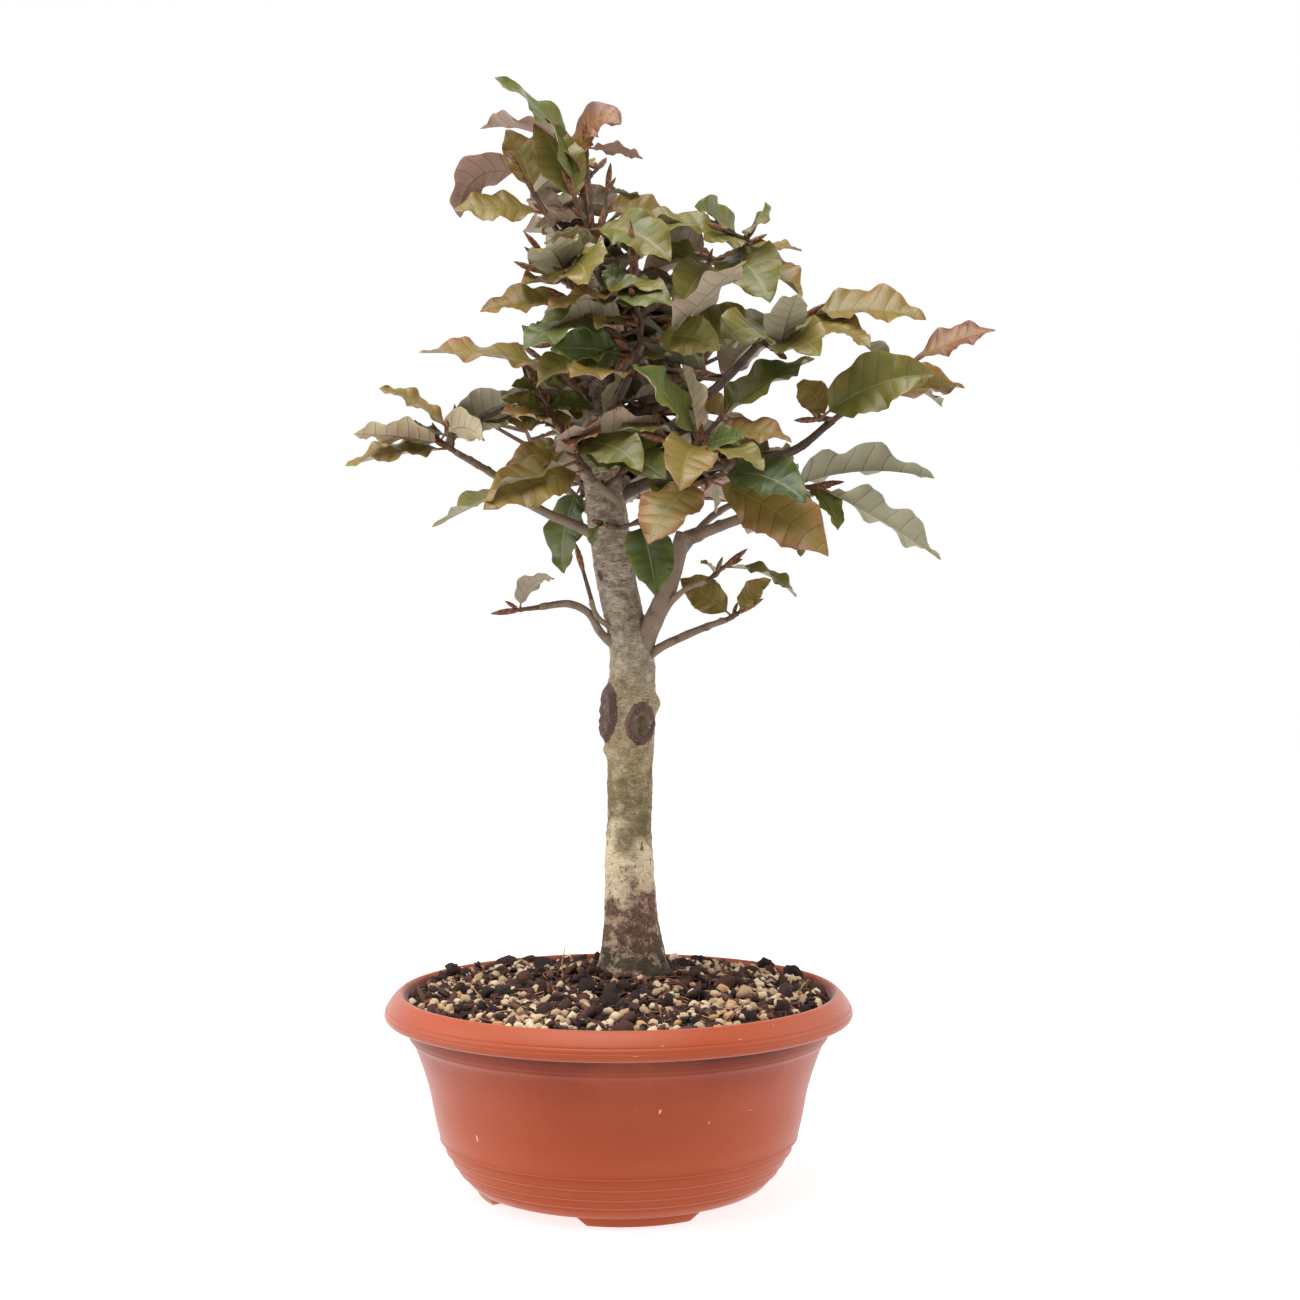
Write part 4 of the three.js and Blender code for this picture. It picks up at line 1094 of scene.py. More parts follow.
def make_feet():
    """All the feet and the flat pad in the middle, joined and with their edges rounded."""
    feet = [make_foot(FOOT_TURN + 360 * k / FOOT_COUNT) for k in range(FOOT_COUNT)]
    bpy.ops.object.select_all(action="DESELECT")
    bpy.ops.mesh.primitive_cylinder_add(
        vertices=48, radius=PAD_RADIUS * MM, depth=FOOT_TOP * MM, location=(0, 0, FOOT_TOP / 2 * MM))
    pad = start_piece("bowl_feet")
    for foot in feet:
        foot.select_set(True)
    bpy.ops.object.join()
    bpy.ops.object.transform_apply(location=True, rotation=True, scale=True)
    bevel = pad.modifiers.new("Rounded edges", "BEVEL")
    bevel.width = 0.7 * MM
    bevel.segments = 2
    bevel.angle_limit = math.radians(40)
    bpy.ops.object.modifier_apply(modifier=bevel.name)
    bpy.ops.object.shade_smooth_by_angle(angle=math.radians(40))
    return pad


class BEECH_OT_bowl(bpy.types.Operator):
    """Turns the bowl ring by ring and puts its feet and pad under it"""

    bl_idname = "beech.bowl"
    bl_label = "Bowl"

    def execute(self, context):
        chosen = settings("bowl")
        material = bowl_material(colour_of(chosen.plastic), colour_of(chosen.worn))
        groove = chosen.groove / MM
        profile = outer_profile(groove) + rim_profile(groove) + inner_profile()
        shell = lathe_by_rings("bowl_shell", profile, chosen.sides)
        feet = make_feet()
        for piece in (shell, feet):
            piece.data.materials.clear()
            piece.data.materials.append(material)
        finish_piece(shell, ["bowl"])
        finish_piece(feet)
        return {"FINISHED"}


# ---- soil, grit and litter ----
SOIL_MOUND = [(0, 129.7), (0.206, 129.7), (0.473, 122), (0.9, 117.5), (1.02, 114.2)]
SOIL_REACH = 123.9
LITTER_REACH = 126.6
TRUNK_FOOT = (8, 0)
SOIL_SEED = 11
SOIL_SIDES = 220
# How far from the bowl's axis litter is strewn, and how far from the trunk's it stays.
LITTER_EDGE = 125
LITTER_CLEAR = 23
CHIP_LENGTH = (4, 14)
FIBRE_LENGTH = (8, 30)
# Where the grit lies thickest: x, y, how wide, and how strongly.
GRIT_PATCHES = [
    (62, -60, 30, 1.0), (97, -34, 24, 0.9), (34, -104, 26, 0.9), (-50, -92, 26, 1.0), (30, -40, 18, 0.8),
    (-92, -52, 24, 0.9), (-26, -66, 22, 0.8), (80, 50, 34, 0.9), (-60, 60, 34, 0.7), (-8, -108, 16, 0.8),
    (-96, 8, 20, 0.8), (46, 92, 26, 0.9), (-34, 22, 14, 0.5), (52, 20, 14, 0.7),
]
GRIT_SHADES = [
    (216, 188, 150), (198, 168, 132), (230, 208, 174), (182, 150, 116), (206, 176, 142), (190, 160, 126),
    (222, 198, 162), (206, 158, 108),
]
CRUMB_SHADES = [(46, 26, 19), (66, 38, 28), (86, 52, 38), (36, 21, 16)]
CLUMP_SHADES = [(54, 31, 25), (40, 24, 19), (76, 45, 34)]
CHIP_SHADES = [(66, 36, 29), (88, 50, 38), (46, 26, 22), (108, 66, 48)]
FIBRE_SHADES = [(160, 116, 82), (112, 74, 52), (186, 150, 112)]
# Round litter: its patches, widths, how flat it is, rings and sides of a piece, how deep it sinks, its
# shades, then its roughness, grain and bump.
LITTER = {
    "grit": (GRIT_PATCHES, (2.6, 7.8), (0.6, 0.95), (3, 7), 0.2, GRIT_SHADES, 0.8, 700.0, 0.5),
    "crumbs": (None, (2.0, 6.5), (0.5, 1.0), (2, 6), 0.25, CRUMB_SHADES, 0.88, 700.0, 0.7),
    "clumps": (None, (7.0, 14.0), (0.3, 0.6), (6, 12), 0.3, CLUMP_SHADES, 0.9, 420.0, 1.0),
}
# The same two for the clumps that stand up.
TALL_SQUASH = (0.7, 0.9)
TALL_SINK = 0.1


def soil_height(x, y, relief):
    """Height of the soil at a place: the mound with its lumps."""
    share = np.hypot(x, y) / SOIL_REACH
    table = np.array(SOIL_MOUND)
    level = np.interp(share, table[:, 0], table[:, 1])
    flat = np.stack([x, y, np.zeros_like(x)], -1)
    lumps = 0.6 * noise(flat, 26, 3) + 0.5 * noise(flat, 11, 4) + 0.3 * noise(flat, 5, 5)
    fade = np.clip((1.0 - share) / 0.08, 0, 1)
    near = np.clip((np.hypot(x - TRUNK_FOOT[0], y - TRUNK_FOOT[1]) - 18) / 12, 0, 1)
    return level + lumps * relief * fade * (0.35 + 0.65 * near) - 0.8


def soil_height_at(x, y, relief):
    """Height of the soil at one place."""
    return float(soil_height(np.array([float(x)]), np.array([float(y)]), relief)[0])


def make_soil_bed(relief):
    """The bed of peat: lumpy on top, plain down the inside of the bowl."""
    turns = np.linspace(0, 2 * math.pi, SOIL_SIDES, endpoint=False)
    rings = []
    for share in np.concatenate([np.linspace(0.006, 1.0, 76), [1.018]]):
        x = share * SOIL_REACH * np.cos(turns)
        y = share * SOIL_REACH * np.sin(turns)
        rings.append(np.stack([x, y, soil_height(x, y, relief)], -1))
    edge = [(z, float(wall_radius(z)) - WALL - 0.4) for z in (103, 88, 70, 45, 25, FLOOR_Z + 0.3)]
    for z, r in [(110.0, 126.4)] + edge + [(FLOOR_Z + 0.3, 1.0)]:
        rings.append(np.stack([r * np.cos(turns), r * np.sin(turns), np.full(SOIL_SIDES, z)], -1))
    top, bottom = [np.broadcast_to(ring.mean(0), (SOIL_SIDES, 3)) for ring in (rings[0], rings[-1])]
    rings = [top] + rings + [bottom]
    parts = Parts()
    faces = grid_faces(len(rings), SOIL_SIDES, wrap=True)
    parts.add(np.array(rings), faces[:, ::-1], 0)
    return parts


def closed_ball(rings, sides):
    """Points and faces of a rough ball of radius 1."""
    rise = np.linspace(-90, 90, rings + 2)[:, None] * math.pi / 180
    turn = np.linspace(0, 2 * math.pi, sides, endpoint=False)[None, :]
    ball = np.stack([np.cos(rise) * np.cos(turn), np.cos(rise) * np.sin(turn), np.sin(rise) + 0 * turn], -1)
    return ball, grid_faces(rings + 2, sides, wrap=True)


def turned(points, rng):
    """Points turned at random about the origin."""
    quaternion = rng.normal(size=4)
    w, x, y, z = quaternion / np.linalg.norm(quaternion)
    matrix = np.array([
        [1 - 2 * (y * y + z * z), 2 * (x * y - z * w), 2 * (x * z + y * w)],
        [2 * (x * y + z * w), 1 - 2 * (x * x + z * z), 2 * (y * z - x * w)],
        [2 * (x * z - y * w), 2 * (y * z + x * w), 1 - 2 * (x * x + y * y)]])
    return points @ matrix.T


def soil_places(count, rng, patches=None):
    """Places on the soil, spread evenly or thicker in patches, clear of the trunk."""
    found = []
    while len(found) < count:
        radius = LITTER_EDGE * math.sqrt(rng.random())
        turn = 2 * math.pi * rng.random()
        x, y = radius * math.cos(turn), radius * math.sin(turn)
        if math.hypot(x - TRUNK_FOOT[0], y - TRUNK_FOOT[1]) < LITTER_CLEAR:
            continue
        if patches:
            weight = 0.07 + sum(
                s * math.exp(-((x - px) ** 2 + (y - py) ** 2) / w ** 2) for px, py, w, s in patches)
            if rng.random() > weight:
                continue
        found.append((x, y))
    return np.array(found)


def scatter_stones(parts, places, size, squash, relief, rng, shades, detail, sink):
    """Lays small rough stones or crumbs on the soil."""
    ball, faces = closed_ball(*detail)
    heights = soil_height(places[:, 0], places[:, 1], relief)
    for (x, y), z in zip(places, heights):
        radius = 0.5 * rng.uniform(*size)
        rough = ball * (1 + 0.18 * rng.normal(size=ball.shape[:2] + (1,)).clip(-1.2, 1.2))
        rough[0] = rough[0].mean(0)
        rough[-1] = rough[-1].mean(0)
        shape = turned(rough * np.array([1, rng.uniform(0.65, 1), rng.uniform(*squash)]), rng) * radius
        lift = z + radius * (1 - 2 * sink) * rng.uniform(0.3, 1.0)
        reach = math.hypot(x, y) + radius
        pull = min(1.0, LITTER_REACH / reach)
        parts.add(shape + np.array([x * pull, y * pull, lift]), faces, rng.integers(shades))


def scatter_chips(parts, places, relief, rng, shades):
    """Lays flat chips of bark on the soil, some standing on edge."""
    ball, faces = closed_ball(2, 6)
    heights = soil_height(places[:, 0], places[:, 1], relief)
    for (x, y), z in zip(places, heights):
        length = rng.uniform(*CHIP_LENGTH)
        shape = ball * np.array([length / 2, length * rng.uniform(0.1, 0.28), rng.uniform(0.6, 1.6)])
        shape = shape * (1 + 0.12 * rng.normal(size=ball.shape[:2] + (1,)).clip(-1, 1))
        shape[0] = shape[0].mean(0)
        shape[-1] = shape[-1].mean(0)
        tilt = math.radians(rng.normal() * 22)
        turn = 2 * math.pi * rng.random()
        along = np.array([math.cos(turn) * math.cos(tilt), math.sin(turn) * math.cos(tilt), math.sin(tilt)])
        across = np.array([-math.sin(turn), math.cos(turn), 0])
        matrix = np.stack([along, across, np.cross(along, across)])
        pull = min(1.0, LITTER_REACH / (math.hypot(x, y) + length / 2))
        lift = z + 0.8 + abs(math.sin(tilt)) * length * 0.3
        parts.add(shape @ matrix + np.array([x * pull, y * pull, lift]), faces, rng.integers(shades))


def scatter_fibres(parts, places, relief, rng, shades):
    """Lays thin bent fibres on the soil."""
    for x, y in places:
        length = rng.uniform(*FIBRE_LENGTH)
        turn = 2 * math.pi * rng.random()
        bend = rng.normal() * 1.4
        share = np.linspace(-0.5, 0.5, 6)
        angle = turn + bend * share
        path_x = x + np.cumsum(np.cos(angle)) * length / 6
        path_y = y + np.cumsum(np.sin(angle)) * length / 6
        reach = np.hypot(path_x, path_y)
        if reach.max() > LITTER_REACH or np.hypot(path_x - TRUNK_FOOT[0], path_y - TRUNK_FOOT[1]).min() < 20:
            continue
        lift = soil_height(path_x, path_y, relief) + 0.9 + 2.2 * rng.random() * np.cos(share * math.pi)
        add_tube(parts, np.stack([path_x, path_y, lift], -1), rng.uniform(0.22, 0.5), 4, rng.integers(shades))


# Chips that stand up: foot x, y, heading, rise, length, half width and shade.
STANDING_CHIPS = [
    (-111, -40, 160, 62, 17, 2.6, 3), (44, -42, 35, 68, 15, 4.2, 0), (96, -34, 60, 66, 14, 4.8, 0),
    (-62, -98, -160, 20, 19, 3.2, 1), (28, -112, -10, 15, 21, 3.4, 1), (-30, -104, 20, 12, 18, 3.6, 0),
]
# Clumps that stand up: x, y and size.
TALL_CLUMPS = [
    (38, 30, 13), (44, 44, 11), (108, 44, 12), (92, 66, 11), (-104, 44, 12), (-72, 84, 12), (-48, 50, 14),
    (-36, 62, 11), (-24, 40, 10), (70, -18, 9),
]
# Fibres that stand up: foot x, y, heading, rise and length.
STANDING_FIBRES = [
    (-31, -22, 100, 84, 24), (-70, -66, 175, 50, 20), (58, -92, -20, 42, 22), (104, -20, 10, 55, 15),
]


def add_standing_litter(chips, fibres, relief):
    """The few chips and fibres that stand out of the soil."""
    ball, faces = closed_ball(3, 7)
    for x, y, heading, rise, length, half, pick in STANDING_CHIPS:
        along = direction(heading, rise)
        across = direction(heading + 90, 0)
        matrix = np.stack([along, across, np.cross(along, across)])
        z = soil_height_at(x, y, relief)
        rough = 1 + 0.1 * noise(ball * 40, 24, pick + 30)[..., None]
        shape = ball * np.array([length / 2, half, 1.1]) * rough
        chips.add(shape @ matrix + np.array([x, y, z]) + along * length * 0.32, faces, pick)
    for x, y, heading, rise, length in STANDING_FIBRES:
        z = soil_height_at(x, y, relief)
        share = np.linspace(0, 1, 9)[:, None]
        path = np.array([x, y, z - 1]) + share * length * direction(heading, rise)
        path = path + 2.2 * np.sin(share * 3.2) * direction(heading + 90, 10)
        add_tube(fibres, path, np.linspace(0.5, 0.25, 9), 5, 2)


class BEECH_OT_soil(bpy.types.Operator):
    """Fills the bowl with peat and strews it with grit, crumbs, bark chips and fibres"""

    bl_idname = "beech.soil"
    bl_label = "Soil and grit"

    def execute(self, context):
        chosen = settings("soil")
        relief = chosen.relief / MM
        rng = np.random.default_rng(SOIL_SEED)
        bed = make_soil_bed(relief).build("soil_bed", [soil_material(colour_of(chosen.peat))])
        finish_piece(bed, ["soil"])
        for kind, (patches, size, squash, detail, sink, shades, *skin) in LITTER.items():
            parts = Parts()
            places = soil_places(getattr(chosen, kind), rng, patches)
            scatter_stones(parts, places, size, squash, relief, rng, len(shades), detail, sink)
            for x, y, tall in TALL_CLUMPS if kind == "clumps" else ():
                scatter_stones(parts, np.array([(x, y)]), (tall, tall), TALL_SQUASH, relief, rng, len(shades),
                               detail, TALL_SINK)
            self.dress(parts, "soil_" + kind, shades, *skin)
        chips = Parts()
        fibres = Parts()
        scatter_chips(chips, soil_places(chosen.chips, rng), relief, rng, len(CHIP_SHADES))
        scatter_fibres(fibres, soil_places(chosen.fibres, rng), relief, rng, len(FIBRE_SHADES))
        add_standing_litter(chips, fibres, relief)
        self.dress(chips, "soil_bark_chips", CHIP_SHADES, 0.75, 600.0, 0.6)
        self.dress(fibres, "soil_fibres", FIBRE_SHADES, 0.75, 900.0, 0.3)
        return {"FINISHED"}

    def dress(self, parts, name, shades, rough, grain, strength):
        """Builds one kind of litter with its own plain shades."""
        materials = [
            plain_material("%s_%d" % (name, k), colour, rough, grain, 3 * grain, strength, 0.0008)
            for k, colour in enumerate(shades)]
        finish_piece(parts.build(name, materials))


# ---- trunk ----
TRUNK_SIDES = 144
TRUNK_STEP = 1.2
# Low knobs on the trunk: height, heading, radius and how far each stands out.
KNOBS = [
    (290, -6, 7.5, 3.0), (262, 190, 4.5, 2.4), (328, -35, 5.5, 4.0), (318, -50, 3.5, 2.0),
    (243, -80, 3.2, 1.4), (222, -30, 3.6, 1.5), (212, 200, 3.4, 1.8), (196, -95, 4.0, 1.3),
    (300, -120, 3.6, 1.6), (352, -80, 4.2, 2.0), (385, -20, 3.6, 1.8), (430, -100, 3.4, 1.6),
    (447, 170, 3.4, 1.8), (258, 60, 4.2, 1.8), (345, 90, 4.6, 2.2), (410, 60, 4.0, 2.0),
    (506, -70, 2.8, 1.2), (470, 190, 3.0, 1.4),
]
# Hollow old scars: height, heading, radius and depth.
SCARS = [(478, 205, 4.2, 1.6), (527, -110, 4.6, 1.8), (492, -75, 2.6, 0.9), (366, -140, 3.4, 1.2)]
# Healed rings round old cuts: height, heading, half width, how tall for its width, how far it stands out.
CALLUS_RINGS = [(284, -158, 8.5, 1.95, 4.6), (277.5, -65, 8.8, 1.35, 3.6), (480, -30, 4.5, 1.2, 1.4)]
# Rings left by bud scales: heights on the upper trunk.
TRUNK_RINGS = [341, 372, 398, 436, 463, 497, 519, 541]
# The pruned tip: which way its cut face leans, and how steeply.
CUT_HEADING = -80
CUT_SLOPE = 0.75
# Ribs of the root flare: heading, and how far each stands out for the flare's whole reach.
ROOT_RIBS = [(-150, 0.30), (-95, 0.22), (-30, 0.28), (25, 0.20), (80, 0.26), (150, 0.22)]
ROOT_REACH = 11
# Short cross marks on the bark: how many, the heights between which they lie, half width and rise.
MARK_SEED = 5
MARK_COUNT = 230
MARK_HEIGHTS = (150, 552)
MARK_WIDTH = (1.2, 4.0)
MARK_RISE = (0.15, 0.4)


def trunk_rows():
    """Middle points and radii up the trunk, as one smooth curve through its stations."""
    stations = np.array(TRUNK, float)
    fine = smooth_path(stations[:, :3], 900)
    count = int((stations[-1, 2] - stations[0, 2]) / TRUNK_STEP)
    heights = np.linspace(stations[0, 2] - 8, stations[-1, 2], count)
    path = np.stack([*(np.interp(heights, fine[:, 2], fine[:, k]) for k in (0, 1)), heights], 1)
    curve = np.array([(r, 0.0, z) for _, _, z, r in TRUNK])
    sweep = smooth_path(curve, 900)
    return path, np.interp(heights, sweep[:, 2], sweep[:, 0])


def around(angle, heading):
    """Difference of two headings, from -180 to 180 degrees."""
    return (angle - heading + 180) % 360 - 180


def lump(reach_across, reach_up, size):
    """A round lump, 1 in the middle and 0 beyond its size."""
    return np.exp(-(reach_across ** 2 + reach_up ** 2) / (0.5 * size ** 2))


def trunk_relief(path, radii, relief):
    """How far each point of the trunk's skin stands out of its round, and which points are scar."""
    angles = np.linspace(0, 360, TRUNK_SIDES, endpoint=False)[None, :]
    z = path[:, 2:3]
    r = radii[:, None]
    turn = np.radians(angles)
    skin = np.stack([r * np.cos(turn), r * np.sin(turn), z + 0 * turn], -1)

    def aside(heading):
        """How far round the trunk each point lies from a heading."""
        return np.radians(around(angles, heading)) * r

    rise = relief * (0.65 * noise(skin, 22, 7) + 0.4 * noise(skin, 8, 8) + 0.2 * noise(skin, 3, 9))
    flat = np.stack([angles / 360 * 2 * math.pi * r * 0.45, 0 * angles + 3 * z / 2.2, 0 * z + 0 * angles], -1)
    rise = rise + 0.3 * relief * np.clip(noise(flat, 5, 10) - 0.25, 0, 1) * 2
    rng = np.random.default_rng(MARK_SEED)
    for _ in range(MARK_COUNT):
        height, heading = rng.uniform(*MARK_HEIGHTS), rng.uniform(0, 360)
        width = rng.uniform(*MARK_WIDTH)
        mark = np.exp(-(aside(heading) / width) ** 2 - ((z - height) / 0.6) ** 2)
        rise = rise + rng.uniform(*MARK_RISE) * mark
    for height in TRUNK_RINGS:
        past = z - height - 1.2 * np.sin(turn * 2 + height)
        rise = rise + 0.35 * np.exp(-(past / 0.9) ** 2) - 0.2 * np.exp(-((past - 2) / 0.8) ** 2)
    for height, heading, size, stand in KNOBS:
        rise = rise + stand * lump(aside(heading), z - height, size)
    scar = np.zeros_like(rise)
    heart = np.zeros_like(rise)
    for height, heading, size, depth in SCARS:
        reach = np.hypot(aside(heading), (z - height) / 1.3) / size
        rise = rise + depth * (0.6 * np.exp(-((reach - 1) / 0.3) ** 2) - np.exp(-(reach / 0.7) ** 2))
        scar = np.maximum(scar, np.exp(-(reach / 0.85) ** 4))
    for height, heading, size, tall, stand in CALLUS_RINGS:
        across = aside(heading)
        reach = np.hypot(across, (z - height) / tall) / size * (1 + 0.06 * noise(skin, 5, 13))
        swell = np.exp(-(reach / 1.25) ** 4)
        ring = np.exp(-((reach - 0.8) / 0.2) ** 2) * (1 + 0.3 * noise(skin, 2.5, 12))
        rise = rise + stand * (0.55 * swell + 0.6 * ring) - 0.9 * stand * np.exp(-(reach / 0.45) ** 4)
        rise = rise - 0.8 * np.exp(-(across / 0.8) ** 2) * (reach < 0.7)
        scar = np.maximum(scar, np.exp(-((reach - 0.82) / 0.28) ** 2))
        heart = np.maximum(heart, (reach < 0.55).astype(float))
    foot = np.exp(-np.clip(z - 128, 0, None) / 13)
    for heading, height in ROOT_RIBS:
        rise = rise + foot * ROOT_REACH * height * np.exp(-(around(angles, heading) / 17) ** 2)
    return rise - foot * 0.8, scar, heart


class BEECH_OT_trunk(bpy.types.Operator):
    """Raises the trunk with its flare, cross marks, knobs, scars and healed wounds"""

    bl_idname = "beech.trunk"
    bl_label = "Trunk"

    def execute(self, context):
        chosen = settings("plant")
        path, radii = trunk_rows()
        rise, scar, heart = trunk_relief(path, radii, chosen.relief / MM)
        turn = np.linspace(0, 2 * math.pi, TRUNK_SIDES, endpoint=False)[None, :]
        reach = radii[:, None] + rise
        rings = np.stack([path[:, :1] + reach * np.cos(turn), path[:, 1:2] + reach * np.sin(turn),
                          path[:, 2:3] + 0 * turn], -1)
        for k in range(1, 5):
            slope = CUT_SLOPE * (1 - k / 6)
            rings[-k, :, 2] = path[-k, 2] - slope * ((rings[-k] - path[-k]) @ direction(CUT_HEADING, 0))
        cut = rings[-1].mean(0)
        inner = cut + (rings[-1] - cut) * 0.72 - np.array([0, 0, 0.5])
        ends = np.broadcast_to(cut, (TRUNK_SIDES, 3))
        foot = np.broadcast_to(rings[0].mean(0), (TRUNK_SIDES, 3))
        grid = np.concatenate([foot[None], rings, inner[None], ends[None]])
        faces = grid_faces(len(grid), TRUNK_SIDES, wrap=True)
        marks = np.zeros((len(grid) - 1, TRUNK_SIDES), int)
        marks[1:len(rings)] = np.where(heart[:-1] > 0.5, 3, (scar[:-1] > 0.42).astype(int))
        marks[-2:] = 2
        parts = Parts()
        parts.add(grid, faces, marks.ravel())
        materials = [
            trunk_material(colour_of(chosen.silver)),
            bark_material("scar_wood", (92, 62, 52), (50, 32, 27), (122, 88, 74)),
            bark_material("cut_wood", (150, 128, 98), (104, 80, 58), (180, 160, 128)),
            bark_material("scar_heart", (112, 94, 66), (52, 38, 30), (134, 118, 84)),
        ]
        finish_piece(parts.build("trunk_bark", materials), ["trunk"])
        return {"FINISHED"}


# ---- boughs ----
BOUGH_SIDES = 14
BOUGH_STEP = 1.4
DARK_BOUGHS = ("bough_right_upper", "bough_right_mid")
RING_SPACING = 17
BOUGH_SEED = 40
BOUGH_SEED_STEP = 7


def add_bough(parts, path, radii, seed, slot):
    """One bough: a swollen foot, ring scars, small knobs and a closed end."""
    rng = np.random.default_rng(seed)
    length = np.linalg.norm(np.diff(path, axis=0), axis=1).sum()
    steps = max(int(length / BOUGH_STEP), 12)
    share = np.linspace(0, 1, steps)
    line = even_path(path, steps)
    along = share * length
    flat = np.stack([along, 0 * along, 0 * along], -1)
    wander = np.stack([noise(flat, 21, seed + k) for k in range(3)], -1)
    line = line + 0.9 * wander * np.minimum(share, 1 - share)[:, None] * 2
    radius = radii[0] + (radii[1] - radii[0]) * share
    radius = radius * (1 + 0.4 * np.exp(-np.clip(along - 11, 0, None) / 3.0))
    ring = along % (RING_SPACING * rng.uniform(0.85, 1.2))
    radius = radius + 0.22 * np.exp(-((ring - 4) / 0.8) ** 2) + 0.16 * np.exp(-((ring - 6.4) / 0.7) ** 2)
    turn = np.linspace(0, 2 * math.pi, BOUGH_SIDES, endpoint=False)[None, :]
    skin = np.stack([3 * np.cos(turn) + 0 * along[:, None], 3 * np.sin(turn) + 0 * along[:, None],
                     along[:, None] + 0 * turn], -1)
    rough = radius[:, None] * (1 + 0.07 * noise(skin, 6, seed)) + 0.12 * noise(skin, 2.2, seed + 1)
    for _ in range(int(length / 16)):
        height, heading = rng.uniform(12, length), rng.uniform(0, 2 * math.pi)
        across = np.angle(np.exp(1j * (turn - heading))) * radius[:, None]
        rough = rough + 0.8 * np.exp(-(across / 1.1) ** 2 - ((along[:, None] - height) / 1.3) ** 2)
    add_tube(parts, line, rough, BOUGH_SIDES, slot)


class BEECH_OT_boughs(bpy.types.Operator):
    """Grows the boughs out of the trunk and each other"""

    bl_idname = "beech.boughs"
    bl_label = "Boughs"

    def execute(self, context):
        parts = Parts()
        paths = limb_paths()
        for k, (name, (_, _, _, radii)) in enumerate(BOUGHS.items()):
            seed = BOUGH_SEED + BOUGH_SEED_STEP * k
            add_bough(parts, paths[name], radii, seed, int(name in DARK_BOUGHS))
        materials = [
            bark_material("bough_bark", (134, 114, 94), (86, 62, 48), (156, 144, 114)),
            bark_material("dark_bough_bark", (86, 66, 52), (48, 33, 26), (120, 104, 80)),
        ]
        finish_piece(parts.build("boughs_bark", materials), list(BOUGHS))
        return {"FINISHED"}


# ---- twigs and buds ----
TWIG_SIDES = 8
TWIG_STEP = 1.0
ZIGZAG = 0.8
# Longer end buds than the rest: mass and twig, then length and radius.
BIG_BUDS = {("foliage_front", 0): (44, 2.6), ("foliage_top", 0): (30, 2.4)}
BUD_SEED = 23
BUD_SIDES = 10
BUD_ROWS = 15
BUD_SHADES = [(122, 74, 46), (98, 56, 38), (146, 98, 62), (78, 46, 34)]


def twig_path(twig):
    """A twig's path with a small bend at each leaf, and its radii with swollen nodes."""
    length = np.linalg.norm(twig["tip"] - twig["base"])
    steps = max(int(length / TWIG_STEP), 8)
    share = np.linspace(0, 1, steps)
    along = share * length
    line = twig["base"] + share[:, None] * (twig["tip"] - twig["base"])
    radius = twig["radius"] + (SHOOT_TIP_RADIUS - twig["radius"]) * share
    side = unit(np.cross(twig["along"], np.array([0.1, 0.2, 1.0])))
    bend = np.zeros(steps)
    for i, (foot, _) in enumerate(twig["leaves"]):
        place = np.linalg.norm(foot - twig["base"])
        bend += ZIGZAG * (1 if i % 2 else -1) * np.exp(-((along - place) / 5.0) ** 2)
        radius = radius + 0.55 * np.exp(-((along - place) / 1.5) ** 2)
    fade = np.sin(np.pi * np.clip(share, 0, 1)) ** 0.5
    ring = along % 13
    radius = radius + 0.14 * np.exp(-((ring - 6) / 0.6) ** 2) + 0.12 * np.exp(-((ring - 8) / 0.6) ** 2)
    return line + (bend * fade)[:, None] * side, radius


def add_bud(parts, base, along, length, radius, rng):
    """A slender pointed bud of overlapping scales."""
    share = np.linspace(0, 1, BUD_ROWS)
    swell = np.sin(np.pi * (0.12 + 0.88 * share) ** 1.15) ** 0.85
    across = unit(np.cross(along, np.array([0.21, 0.13, 1.0])))
    other = np.cross(along, across)
    turn = np.linspace(0, 2 * math.pi, BUD_SIDES, endpoint=False)
    spiral = share[:, None] * 5.0 + turn[None, :] / math.pi
    step = spiral % 1.0
    reach = radius * swell[:, None] * (1 + 0.16 * step) + 0.05
    reach[-1] = 0.06
    bend = 0.05 * length * np.sin(share * 2) * rng.uniform(-1, 1)
    centre = base + share[:, None] * length * along + bend[:, None] * across
    rings = centre[:, None] + reach[..., None] * (
        np.cos(turn)[None, :, None] * across + np.sin(turn)[None, :, None] * other)
    grid = np.concatenate([np.broadcast_to(centre[0], (1, BUD_SIDES, 3)), rings,
                           np.broadcast_to(centre[-1] + along * 0.2, (1, BUD_SIDES, 3))])
    faces = grid_faces(len(grid), BUD_SIDES, wrap=True)
    pick = np.zeros((len(grid) - 1, BUD_SIDES), int)
    pick[1:-1] = np.where(step[:-1] > 0.72, 2, np.where(step[:-1] > 0.3, 0, 1))
    pick[-1] = 3
    pick[1:3] = 3
    parts.add(grid, faces, pick.ravel())


